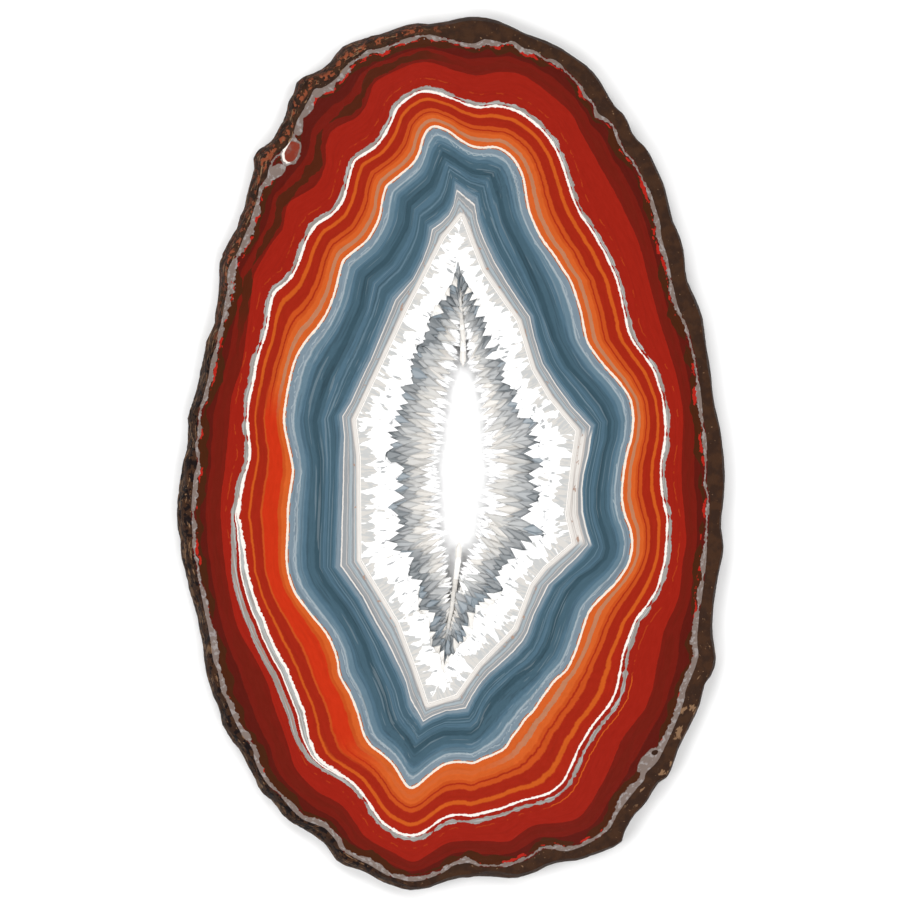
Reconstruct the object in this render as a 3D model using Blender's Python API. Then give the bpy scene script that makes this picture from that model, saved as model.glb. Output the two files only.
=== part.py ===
"""Lake Superior agate slice: a sawn slice of banded stone round a hollow lined with quartz.

It lies face up on its sawn underside. The origin is the centre of the underside, +Z is up,
and +Y runs along the slice's length, towards its rounder end. Sizes are in metres.
"""
import math
import random

import bmesh
import bpy
from mathutils import Matrix, Vector, noise

# Driving dimensions
MM = 0.001
THICKNESS = 6.5 * MM
FIT_GAP = 0.3 * MM

# The rind, the rough natural outside of the nodule
RIND_STEPS = 230
RIM_WEAR = 0.35 * MM
ROUGH_SIDE_WEAR = 0.75 * MM
LUMP_DEPTH = 0.42 * MM
LUMP_SIZE = 2.4 * MM
RIND_LEVELS = (0.0, 0.08, 0.3, 0.52, 0.76, 0.93, 1.0)

# The quartz crust that lines the hollow
POINT_PITCH = 3.1 * MM
POINT_RADIUS = 1.25 * MM
ROOT_DEPTH = 0.9 * MM
FLUSH_REACH = 4.0 * MM
POINT_DROP = 1.6 * MM
SAW_SPARE = 1.0 * MM
SEED = 3

# Outline of the slice in millimetres, seen from above, anticlockwise from the top notch
OUTLINE = (
    (-3.0, 58.8), (-4.7, 59.0), (-6.5, 58.5), (-9.3, 57.6), (-10.5, 57.5), (-12.0, 56.9),
    (-14.5, 55.9), (-15.7, 55.0), (-17.0, 53.3), (-18.1, 52.3), (-19.2, 52.1), (-20.6, 51.4),
    (-21.4, 50.2), (-21.8, 48.8), (-22.4, 48.0), (-22.6, 46.4), (-24.0, 44.0), (-24.5, 42.9),
    (-25.6, 42.3), (-26.8, 41.0), (-27.1, 39.8), (-27.1, 38.5), (-27.6, 36.6), (-28.5, 33.3),
    (-30.0, 30.0), (-31.4, 27.2), (-31.9, 25.2), (-31.7, 23.3), (-32.0, 21.3), (-32.4, 18.5),
    (-33.5, 15.5), (-34.1, 12.6), (-35.1, 8.0), (-36.0, 6.0), (-36.2, 4.4), (-36.1, 1.5),
    (-36.8, -1.0), (-37.2, -3.6), (-37.5, -8.5), (-37.2, -11.8), (-36.9, -14.5), (-36.1, -17.8),
    (-35.4, -20.5), (-34.6, -23.5), (-34.0, -26.4), (-33.8, -29.5), (-33.0, -32.3), (-31.8, -35.3),
    (-31.2, -37.8), (-29.9, -39.6), (-28.4, -41.6), (-27.3, -44.2), (-26.0, -46.4), (-24.1, -48.1),
    (-22.6, -50.1), (-21.3, -51.1), (-19.0, -52.2), (-17.1, -53.8), (-15.7, -55.8), (-14.4, -56.6),
    (-12.4, -57.3), (-9.8, -58.7), (-7.5, -59.6), (-5.2, -60.0), (-2.7, -59.6), (0.3, -58.5),
    (3.2, -58.2), (4.7, -58.0), (8.5, -58.3), (11.3, -57.6), (14.0, -56.4), (17.0, -56.0),
    (19.7, -55.1), (22.4, -54.0), (23.7, -53.0), (24.1, -51.5), (25.6, -49.1), (26.6, -48.3),
    (27.8, -46.2), (28.7, -45.0), (29.8, -44.3), (30.6, -42.5), (31.5, -40.0), (34.0, -35.0),
    (34.8, -32.0), (36.1, -29.8), (36.4, -27.6), (35.9, -24.5), (36.1, -21.0), (36.7, -17.0),
    (37.5, -13.0), (37.1, -9.8), (37.6, -5.0), (37.5, -1.0), (37.1, 2.8), (36.2, 6.8),
    (35.7, 10.8), (35.0, 15.5), (34.5, 18.8), (33.4, 21.6), (32.4, 24.0), (32.1, 27.0),
    (31.5, 29.5), (30.4, 32.2), (29.3, 36.6), (28.0, 39.5), (26.8, 41.9), (25.1, 43.5),
    (24.1, 46.0), (22.4, 47.8), (21.0, 50.2), (19.4, 52.4), (17.0, 54.3), (14.0, 56.1),
    (10.0, 57.7), (7.0, 59.1), (4.4, 59.8), (2.0, 59.8), (-1.0, 59.2),
)

# Edge of the hollow in the stone in millimetres, the same way round from its upper tip
HOLLOW = (
    (1.5, 32.4), (-0.9, 29.4), (-5.9, 19.7), (-13.0, 4.5), (-12.4, -0.5), (-12.3, -14.6),
    (-7.1, -23.2), (-4.7, -29.6), (-3.1, -34.3), (0.8, -33.1), (3.8, -28.9), (8.7, -23.9),
    (10.3, -19.2), (12.8, -15.6), (16.7, -12.3), (15.8, -8.5), (16.6, -1.0), (17.2, 3.0),
    (13.5, 7.5), (11.2, 11.4), (9.2, 18.0), (4.4, 24.9),
)

# Inner edge of the solid quartz ring in millimetres, between the lobes of its cut crystals
RING_EDGE = (
    (1.2, 26.6), (-1.6, 21.6), (-3.9, 17.0), (-6.4, 11.4), (-9.6, 4.2), (-9.4, -0.5),
    (-9.6, -13.2), (-6.6, -18.0), (-4.4, -22.6), (-3.2, -26.6), (-1.4, -30.0), (0.6, -27.8),
    (3.4, -25.2), (6.6, -20.9), (7.9, -17.4), (10.2, -14.3), (13.4, -11.6), (12.7, -7.8),
    (13.4, -1.0), (13.3, 2.0), (10.5, 6.2), (8.6, 10.4), (6.9, 16.6), (4.0, 21.8),
)

# The clear gap between the crystal points in millimetres, the same way round
CLEAR_GAP = (
    (1.7, 14.5), (0.2, 10.5), (-1.0, 5.5), (-1.6, 0.0), (-1.6, -6.0), (-1.1, -11.0),
    (-0.2, -15.5), (0.7, -18.5), (2.4, -14.5), (4.1, -10.0), (4.7, -5.0), (4.8, 0.0),
    (4.2, 5.0), (3.1, 10.0),
)


def material(name, colour, roughness, metallic=0.0):
    """A plain surface of one colour."""
    made = bpy.data.materials.new(name)
    made.use_nodes = True
    shader = made.node_tree.nodes["Principled BSDF"]
    shader.inputs["Base Color"].default_value = (*colour, 1.0)
    shader.inputs["Roughness"].default_value = roughness
    shader.inputs["Metallic"].default_value = metallic
    return made


def add_object(name, bm, surface=None):
    """Turn a bmesh into a named object in the scene."""
    mesh = bpy.data.meshes.new(name)
    bm.to_mesh(mesh)
    bm.free()
    if surface:
        mesh.materials.append(surface)
    made = bpy.data.objects.new(name, mesh)
    bpy.context.scene.collection.objects.link(made)
    return made


def metres(points):
    """Outline points in metres, as 2-D vectors."""
    return [Vector((x * MM, y * MM)) for x, y in points]


def smooth_loop(points, steps):
    """A closed curve through the points, as evenly spaced points along its length."""
    count = len(points)
    fine = []
    for i in range(count):
        before, start = points[i - 1], points[i]
        end, after = points[(i + 1) % count], points[(i + 2) % count]
        for k in range(12):
            t = k / 12
            fine.append(0.5 * ((2 * start) + (end - before) * t
                               + (2 * before - 5 * start + 4 * end - after) * t ** 2
                               + (3 * start - before - 3 * end + after) * t ** 3))
    return even_loop(fine, steps)


def even_loop(points, steps):
    """Evenly spaced points along a closed run of straight lines."""
    spans = [(points[(i + 1) % len(points)] - p).length for i, p in enumerate(points)]
    total = sum(spans)
    out, i, walked = [], 0, 0.0
    for k in range(steps):
        target = total * k / steps
        while walked + spans[i] < target:
            walked += spans[i]
            i += 1
        share = (target - walked) / spans[i]
        out.append(points[i].lerp(points[(i + 1) % len(points)], share))
    return out


def inset(points, distance):
    """A closed anticlockwise outline moved inwards by a distance, with its corners kept sharp."""
    out = []
    for i, p in enumerate(points):
        along_in = (p - points[i - 1]).normalized()
        along_out = (points[(i + 1) % len(points)] - p).normalized()
        normal_in = Vector((-along_in.y, along_in.x))
        normal_out = Vector((-along_out.y, along_out.x))
        middle = (normal_in + normal_out).normalized()
        out.append(p + middle * distance / max(middle.dot(normal_in), 0.45))
    return out


def ring_of(bm, points, height):
    """A ring of vertices at one height."""
    return [bm.verts.new((p.x, p.y, height)) for p in points]


def join_rings(bm, lower, upper):
    """A wall of quads between two rings, facing out where they run anticlockwise."""
    count = len(lower)
    for i in range(count):
        j = (i + 1) % count
        bm.faces.new((lower[i], lower[j], upper[j], upper[i]))


def flat_face(bm, *loops):
    """Fill the flat area between closed rings of vertices."""
    edges = [bm.edges.get((ring[i], ring[i - 1])) for ring in loops for i in range(len(ring))]
    bmesh.ops.triangle_fill(bm, edges=edges, use_beauty=True, use_dissolve=False)


def rind_offset(point, outward, share):
    """How far the rind lies outside its outline at one point, at a share of the thickness.

    The sawn edges are worn back, more on the rough left side, and lumps and pits
    stay within the outline, so the outline is the widest line.
    """
    rough = min(max(0.5 - outward.x * 0.8, 0.0), 1.0)
    to_edge = abs(share - 0.4) / 0.6
    wear = RIM_WEAR + ROUGH_SIDE_WEAR * rough
    spot = Vector((point.x, point.y, share * THICKNESS)) / LUMP_SIZE
    lump = max(noise.noise(spot) + 0.25, 0.0)
    ledge = max(noise.noise(spot * 2.3 + Vector((9.0, 4.0, 1.0))), 0.0)
    return -wear * to_edge ** 3 - LUMP_DEPTH * (lump + 0.6 * ledge) * (0.35 + 0.65 * rough)


def make_agate_slice(surface):
    """The stone: a rough rind all round, two sawn faces, and the hollow right through it."""
    bm = bmesh.new()
    outline = smooth_loop(metres(OUTLINE), RIND_STEPS)
    rings = []
    for share in RIND_LEVELS:
        level = []
        for i, p in enumerate(outline):
            along = (outline[(i + 1) % RIND_STEPS] - outline[i - 1]).normalized()
            outward = Vector((along.y, -along.x))
            level.append(p + outward * rind_offset(p, outward, share))
        rings.append(ring_of(bm, level, share * THICKNESS))
    for lower, upper in zip(rings, rings[1:]):
        join_rings(bm, lower, upper)
    hollow = metres(HOLLOW)
    floor_ring = ring_of(bm, hollow, 0.0)
    face_ring = ring_of(bm, hollow, THICKNESS)
    join_rings(bm, face_ring, floor_ring)
    flat_face(bm, rings[0], floor_ring)
    flat_face(bm, rings[-1], face_ring)
    bmesh.ops.triangulate(bm, faces=[f for f in bm.faces if len(f.verts) > 3])
    bmesh.ops.recalc_face_normals(bm, faces=bm.faces)
    return add_object("agate_slice", bm, surface)


def add_point(bm, root, tip, radius, turn):
    """One six-sided quartz crystal with a six-faced point, closed at its root."""
    axis = (tip - root).normalized()
    side = axis.cross(Vector((0, 0, 1))).normalized()
    rise = side.cross(axis)
    shoulder = tip - axis * radius * 1.7
    rings = []
    for centre, grow in ((root, 0.92), (shoulder, 1.0)):
        ring = []
        for k in range(6):
            angle = turn + math.tau * k / 6
            spread = side * math.cos(angle) + rise * math.sin(angle)
            ring.append(bm.verts.new(centre + spread * radius * grow))
        rings.append(ring)
    top = bm.verts.new(tip)
    faces = [bm.faces.new(rings[0])]
    for k in range(6):
        j = (k + 1) % 6
        faces.append(bm.faces.new((rings[0][k], rings[1][k], rings[1][j], rings[0][j])))
        faces.append(bm.faces.new((rings[1][k], top, rings[1][j])))
    bmesh.ops.recalc_face_normals(bm, faces=faces)


def nearest_on_loop(point, loop):
    """The nearest point of a closed run of points."""
    return min(loop, key=lambda p: (p - point).length)


def make_quartz_crust(surface):
    """The lining of the hollow: a ring of quartz and the crystals that point into the hollow.

    The crystals grow from the wall at several depths. Those at the two faces are
    sawn flush with the slab, and those at mid depth reach furthest.
    """
    rng = random.Random(SEED)
    wall = inset(metres(HOLLOW), FIT_GAP)
    gap = smooth_loop(metres(CLEAR_GAP), 120)
    bm = bmesh.new()
    add_tube(bm, inset(metres(HOLLOW), -SAW_SPARE), metres(RING_EDGE))
    perimeter = sum((wall[i] - wall[i - 1]).length for i in range(len(wall)))
    stations = even_loop(wall, round(perimeter / POINT_PITCH))
    for i, start in enumerate(stations):
        along = (stations[(i + 1) % len(stations)] - stations[i - 1]).normalized()
        inward = Vector((-along.y, along.x))
        foot = start + inward * ROOT_DEPTH
        goal = nearest_on_loop(start + inward * 6 * MM, gap)
        way = goal - foot
        side_row = 0.76 if i % 2 else 0.24
        for share, reach, size in (
                (0.98, FLUSH_REACH, 1.0), (side_row, 0.7 * way.length, 1.1),
                (0.5, 1.05 * way.length, 1.3), (0.02, FLUSH_REACH, 1.0)):
            height = share * THICKNESS + rng.uniform(-0.3, 0.3) * MM
            end = foot + way.normalized() * reach * rng.uniform(0.88, 1.0)
            end += along * rng.uniform(-0.8, 0.8) * MM
            drop = (0.5 - share) * POINT_DROP
            add_point(bm, Vector((*foot, height)), Vector((*end, height + drop)),
                      POINT_RADIUS * size * rng.uniform(0.85, 1.12), rng.uniform(0, 1))
    return add_object("quartz_crust", bm, surface)


def add_tube(bm, outer, inner):
    """A closed ring between two outlines, a little taller than the slab on both faces."""
    low, high = -SAW_SPARE, THICKNESS + SAW_SPARE
    outer_low, outer_high = ring_of(bm, outer, low), ring_of(bm, outer, high)
    inner_low, inner_high = ring_of(bm, inner, low), ring_of(bm, inner, high)
    join_rings(bm, outer_low, outer_high)
    join_rings(bm, inner_high, inner_low)
    flat_face(bm, outer_low, inner_low)
    flat_face(bm, outer_high, inner_high)
    bmesh.ops.recalc_face_normals(bm, faces=bm.faces)


def make_hollow_plug():
    """A cutter of the hollow's own shape, which trims the crust to the wall and the two faces."""
    bm = bmesh.new()
    wall = inset(metres(HOLLOW), FIT_GAP)
    low, high = ring_of(bm, wall, 0.0), ring_of(bm, wall, THICKNESS)
    join_rings(bm, low, high)
    bm.faces.new(low)
    bm.faces.new(high)
    bmesh.ops.triangulate(bm, faces=[f for f in bm.faces if len(f.verts) > 4])
    bmesh.ops.recalc_face_normals(bm, faces=bm.faces)
    plug = add_object("hollow_plug", bm)
    plug.hide_render = True
    plug.display_type = "WIRE"
    return plug


def saw_flush(crust):
    """Fuse the crystals with their ring, and saw both faces flush."""
    plug = make_hollow_plug()
    cut = crust.modifiers.new("saw", "BOOLEAN")
    cut.operation = "INTERSECT"
    cut.solver = "EXACT"
    cut.use_self = True
    cut.object = plug
    bpy.context.view_layer.update()
    shown = crust.evaluated_get(bpy.context.evaluated_depsgraph_get())
    fused = bpy.data.meshes.new_from_object(shown)
    crust.modifiers.clear()
    bpy.data.objects.remove(plug)
    bm = bmesh.new()
    bm.from_mesh(fused)
    bmesh.ops.triangulate(bm, faces=bm.faces)
    keep_outer_body(bm)
    bm.to_mesh(crust.data)
    bm.free()


def keep_outer_body(bm):
    """Drop the small pockets that are shut in between crystals, so one body is left."""
    unseen = set(bm.verts)
    bodies = []
    while unseen:
        edge = [unseen.pop()]
        body = set(edge)
        while edge:
            here = edge.pop()
            for link in here.link_edges:
                other = link.other_vert(here)
                if other in unseen:
                    unseen.discard(other)
                    body.add(other)
                    edge.append(other)
        bodies.append(body)
    bodies.sort(key=len)
    for body in bodies[:-1]:
        bmesh.ops.delete(bm, geom=list(body), context="VERTS")


def centre_on_origin(stone, others):
    """Move the meshes so that the origin is the middle of the stone's underside."""
    xs = [v.co.x for v in stone.data.vertices]
    ys = [v.co.y for v in stone.data.vertices]
    middle = Vector(((min(xs) + max(xs)) / 2, (min(ys) + max(ys)) / 2, 0.0))
    for made in (stone, *others):
        made.data.transform(Matrix.Translation(-middle))


def main():
    for old in list(bpy.data.objects):
        bpy.data.objects.remove(old)
    stone = material("banded_agate", (0.45, 0.07, 0.03), 0.25)
    quartz = material("quartz", (0.80, 0.79, 0.77), 0.15)
    agate_slice = make_agate_slice(stone)
    quartz_crust = make_quartz_crust(quartz)
    saw_flush(quartz_crust)
    centre_on_origin(agate_slice, [quartz_crust])


main()
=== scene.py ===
# %% [markdown]
# # A slice of Lake Superior agate
# An agate nodule grew inside a gas bubble in old lava. Bands of silica settled on the bubble's
# wall one after another, stained red and orange by iron, and the last space was lined with
# quartz crystals. A saw cuts the nodule into slabs, and the slab's two faces are polished.
# This lesson dresses a plain solid model of such a slab. The solid model is loaded first, and
# it never moves: every piece made below is measured from it.

# %% Load the solid model
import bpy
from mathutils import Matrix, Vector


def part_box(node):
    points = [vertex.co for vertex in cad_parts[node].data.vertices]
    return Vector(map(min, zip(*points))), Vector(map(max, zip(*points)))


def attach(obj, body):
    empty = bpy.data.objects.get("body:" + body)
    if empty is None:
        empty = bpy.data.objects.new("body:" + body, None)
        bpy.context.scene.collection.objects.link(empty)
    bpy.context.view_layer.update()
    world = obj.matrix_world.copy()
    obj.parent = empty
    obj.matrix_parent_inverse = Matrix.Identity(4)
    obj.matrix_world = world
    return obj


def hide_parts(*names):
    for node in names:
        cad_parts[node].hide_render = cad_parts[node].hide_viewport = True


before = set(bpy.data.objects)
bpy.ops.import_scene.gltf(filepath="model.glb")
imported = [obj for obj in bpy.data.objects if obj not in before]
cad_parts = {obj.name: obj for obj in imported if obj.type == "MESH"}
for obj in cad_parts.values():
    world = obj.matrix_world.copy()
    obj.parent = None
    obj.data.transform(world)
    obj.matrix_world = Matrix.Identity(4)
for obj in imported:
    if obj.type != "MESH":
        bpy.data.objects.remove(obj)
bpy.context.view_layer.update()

# %% Other tools, and the unit
import math
import random

import bpy
import numpy as np
from mathutils import Vector, kdtree, noise

MM = 0.001
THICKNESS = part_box("agate_slice")[1].z / MM
print("slab thickness:", round(THICKNESS, 2), "mm")

# %% [markdown]
# ## The lines between the bands
# Every band of an agate copies the shape of the one before it, with softer or sharper corners.
# A noise texture could make stripes, but it would not know where this stone's bands bend. So
# eight lines are drawn, in millimetres from the middle of the drawing, going round to
# the left from the notch at the top. Each line is cut into runs at the corners that all the
# lines share, and a run is named after the corner where it starts. Between two lines, the
# bands follow by themselves.

# %% Names of the shared corners
CORNERS = ("top", "left_1", "left_2", "left_3", "left_4", "left_waist", "left_hip", "low_1",
           "foot", "low_2", "right_hip", "right_1", "right_bulge", "right_dip", "right_waist",
           "right_2", "right_3", "right_4")
DRAWING_MIDDLE = np.array((0.065, -0.065))


def runs(name, *points):
    """One line of the drawing, as a dictionary from a corner to the points of its run."""
    print(name, "line:", sum(len(run) for run in points), "points")
    return dict(zip(CORNERS, points))


print("shared corners:", len(CORNERS))

# %% The edge of the face, and the inner edge of the rind
FACE_EDGE_CORNERS = (
    (-3.0, 58.8), (-14.5, 55.9), (-21.5, 49.8), (-26.8, 41.0), (-31.9, 25.0), (-36.2, 4.4),
    (-36.6, -16.0), (-28.4, -41.6), (-5.4, -60.0), (6.5, -58.2), (36.4, -28.2), (36.3, -19.3),
    (37.5, -12.6), (37.6, -4.0), (36.9, 3.9), (34.6, 18.4), (30.3, 32.5), (20.0, 51.7),
)
RIND_LINE = runs(
    "rind",
    ((-3.3, 57.2), (-5, 56.9), (-7, 56.3), (-9.5, 55.3), (-11.2, 55.1), (-12, 54.5), (-13, 53.9)),
    ((-14, 53.2), (-14.8, 52.3), (-15.3, 51.5), (-16.3, 50.6), (-17.5, 49.9), (-18.6, 49.7),
     (-19.2, 48.5), (-19.8, 47.5)),
    ((-20.5, 46.2), (-21, 45.2), (-21.3, 44.2), (-21.9, 42.6), (-23, 41.3), (-24.3, 40.4),
     (-24.8, 39), (-25.1, 37.6)),
    ((-26, 36.5), (-26.5, 34.3), (-27, 32.8), (-27.5, 31.2), (-28.2, 29.5), (-29, 27.6),
     (-30, 25.9), (-30.4, 25)),
    ((-30.5, 23.5), (-30.6, 22), (-31, 19.6), (-31.2, 18.5), (-31.6, 17.2), (-32, 15),
     (-32.7, 12.5), (-33.1, 10.2), (-33.8, 7.6), (-34.3, 6.2)),
    ((-34.5, 4.9), (-34.6, 2.5), (-34.9, 1.2), (-34.6, -1.5), (-35, -3), (-35.3, -6),
     (-35.4, -7.5), (-35.3, -10.5), (-35.2, -13.5), (-34.8, -15)),
    ((-34.6, -16.5), (-34, -19.5), (-33.4, -22.5), (-32.8, -25.5), (-32.4, -28.3), (-31.8, -29.8),
     (-31.3, -32.5), (-30.6, -33.8), (-29.6, -36.3), (-28.5, -38.5), (-27.6, -39.5)),
    ((-27, -40.7), (-26.7, -42), (-25.8, -44), (-24.5, -45.8), (-23.6, -46.5), (-22, -48.3),
     (-21.2, -49.2), (-20.2, -50), (-18.2, -50.8), (-17.2, -51.2), (-16.4, -52), (-15.6, -53),
     (-15.1, -54), (-14, -54.8), (-12.5, -55.6), (-11, -56.3), (-8.8, -57.6), (-7.3, -58.1)),
    ((-5.5, -58.5), (-4, -58.4), (-2.5, -57.9), (-1, -57.3), (0.3, -56.4), (1.5, -56.1),
     (2.5, -56), (4, -56.5)),
    ((5.5, -56.6), (7, -56.6), (8.5, -56.3), (11, -55.3), (12.8, -54.1), (15.5, -54.4),
     (17, -54.1), (19.7, -52.9), (21.7, -51.3), (23, -49), (24.7, -46.7), (26.4, -44.7),
     (26.7, -43.7), (28.3, -42), (29.5, -39.7), (30.7, -37), (31.9, -34), (32.1, -32.5),
     (32.8, -30.8), (33.5, -29)),
    ((33.9, -27.5), (33.7, -26), (33.8, -24), (34, -22)),
    ((34.4, -19.2), (34.7, -17), (35, -13.8)),
    ((35.1, -12), (35.3, -8.8), (35.4, -6)),
    ((35, -4), (35.1, -1), (34.9, 2.5)),
    ((34.6, 4.2), (34.2, 8), (33.7, 11.8), (33, 15), (32.3, 17.5)),
    ((31.7, 18.7), (31.1, 20), (30.4, 22.8), (29.8, 26), (28.9, 29.3), (28.6, 31.5)),
    ((28.2, 33), (27.5, 35.2), (26.8, 36.8), (26, 38.3), (25, 40.2), (24, 41.2), (23.2, 42.8),
     (22.4, 44.7), (21.5, 45.6), (20.2, 46.4), (19.7, 47.8), (18.5, 49)),
    ((18, 50.1), (16.5, 51.7), (14.5, 53.6), (13, 54), (11.5, 55), (10, 55.3), (8.5, 56.3),
     (7, 56.1), (4.8, 56.5), (3.5, 56), (2.6, 55.9), (1, 56.3), (-1, 56.8)),
)

# %% The edge between the maroon and the red
MAROON_LINE = runs(
    "maroon",
    ((-3.3, 53.4), (-7.5, 52.2)),
    ((-10.3, 50.6), (-11, 49), (-11.7, 47.2), (-13, 45.8), (-15, 44.8)),
    ((-16.4, 43.7), (-17, 42), (-17, 40), (-17.5, 38), (-18.6, 36.4), (-20.5, 35.2)),
    ((-22.1, 34.1), (-22.6, 32.5), (-23, 30.5), (-24.5, 28.5), (-26.5, 25)),
    ((-27, 23.5), (-27.3, 20.5), (-27.8, 17), (-28.5, 12), (-29.8, 8)),
    ((-30.2, 4.5), (-30.8, -2), (-31.3, -6), (-31.3, -10)),
    ((-30.7, -16), (-30, -20), (-29, -24), (-26.7, -28), (-25, -31.5), (-24.3, -34), (-23, -37.5)),
    ((-22, -40.5), (-21.2, -43), (-18.5, -46), (-15, -48), (-13, -50.5), (-11.5, -52.5),
     (-8, -54.5)),
    ((-5.2, -55.8), (-3, -54.8), (-1, -53.5), (1, -53)),
    ((5, -53), (8, -53), (9.5, -52), (11.5, -50.8), (15, -50.5), (17.5, -49.8), (19, -48),
     (20.5, -45.5), (22, -42.5), (23.2, -39.5), (25, -37), (26.5, -35), (27.5, -32.5)),
    ((28.3, -28.5), (29.3, -24), (30.5, -21.5)),
    ((31.3, -19), (31.7, -15)),
    ((32.2, -12), (32, -9)),
    ((31.6, -4), (31.6, 0)),
    ((31.8, 4), (31.6, 7), (31, 10), (30, 13.5)),
    ((28.6, 18), (27.6, 21.5), (26.6, 25.5), (25.6, 29)),
    ((24.2, 32), (22.5, 35.5), (20.5, 39), (19.7, 40.5), (18, 43.5)),
    ((16.3, 46.6), (13, 49.5), (10, 51.5), (7, 52.1), (3, 51.6)),
)

# %% The white line between the red and the orange
WHITE_LINE = runs(
    "white",
    ((-3.4, 49.4), (-4.5, 49.2), (-6, 48.3)),
    ((-7.3, 47.1), (-8, 45.4), (-8.8, 43.8), (-10, 42.1), (-11.5, 41)),
    ((-13, 40), (-13.6, 38.5), (-14.1, 36.5), (-14.6, 34.7), (-15.5, 33.3), (-16.6, 32.3)),
    ((-18.4, 31.1), (-19.6, 29.2), (-20.3, 27.3), (-20.9, 25.6), (-21.7, 24.1), (-22.9, 22.9)),
    ((-24, 22), (-24.5, 20.6), (-24.8, 19), (-25, 17.4), (-25.4, 15.8), (-26, 14.1),
     (-26.5, 12.4), (-26.8, 10.6), (-27.1, 9), (-27.5, 7.3)),
    ((-27.7, 5), (-27.7, 3.5), (-27.5, 1.8), (-27.4, 0.2), (-27.5, -1), (-28, -2.8),
     (-28.4, -4.3), (-28.8, -7.2), (-29, -8.7), (-28.7, -10), (-28.5, -11.5), (-28.2, -13.2),
     (-28, -15)),
    ((-27.8, -16.3), (-27.3, -18.2), (-26.8, -19.8), (-26.2, -21.5), (-25.5, -23), (-24.9, -24.7),
     (-24.1, -26.4), (-23.3, -28), (-22.4, -29.5), (-21.8, -31), (-21.2, -32.5), (-20.6, -34),
     (-20, -35.6), (-19.7, -37.3), (-19.4, -38.8)),
    ((-18.8, -40.4), (-18.3, -41.4), (-17.2, -42.5), (-15.9, -43.3), (-14.5, -44.2),
     (-13.2, -45.2), (-12.2, -46.3), (-11.2, -47.7), (-10.3, -49.1), (-9.3, -50.4), (-8, -51.3),
     (-6.7, -52)),
    ((-5.4, -52.2), (-4.2, -52), (-3, -51.3), (-1.7, -50.3), (-0.3, -49.6), (1.3, -49.4)),
    ((2.9, -49.5), (4.2, -49.2), (5.5, -48.9), (7, -48.5), (8.5, -47.9), (10, -47.4),
     (11.7, -47), (13.3, -46.5), (14.5, -45.7), (15.5, -44.7), (16.2, -43.3), (16.9, -41.8),
     (17.5, -40.3), (18.3, -39), (19.2, -37.5), (20.3, -36.1), (21.5, -34.6), (22.3, -33.2),
     (22.8, -31.7), (23.2, -29.6)),
    ((23.5, -27.8), (24, -26.2), (24.6, -24.6), (25.2, -23), (26, -21.9), (26.9, -20.7)),
    ((27.8, -19.3), (28.4, -18), (28.8, -16.5), (29.2, -15), (29.4, -13.5)),
    ((29.55, -11), (29.6, -9), (29.3, -7.5), (29, -6), (28.8, -4.5)),
    ((28.7, -2.8), (28.8, -1), (29.1, 0.5), (29.3, 2.2)),
    ((29.35, 4), (29.2, 5.8), (28.9, 7.7), (28.3, 9.7), (27.9, 11), (27, 12.5), (26, 13.8),
     (24.9, 15.3), (24.2, 17)),
    ((23.9, 18.5), (23.4, 20.8), (23, 22.6), (22.5, 24.2), (21.8, 25.7), (21, 27.5),
     (20.3, 28.6), (19.5, 30.1), (18, 32.2)),
    ((17.1, 33.9), (16.5, 35.5), (15.8, 37.8), (15, 40.1), (14, 42.2)),
    ((12.8, 43.8), (12, 44.6), (10.8, 45.6), (9.3, 46.6), (7.5, 47.2), (6, 47.4), (4.2, 47.2),
     (2.5, 47.5), (1, 48.1), (-0.5, 48.7), (-2, 49.2)),
)

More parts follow.
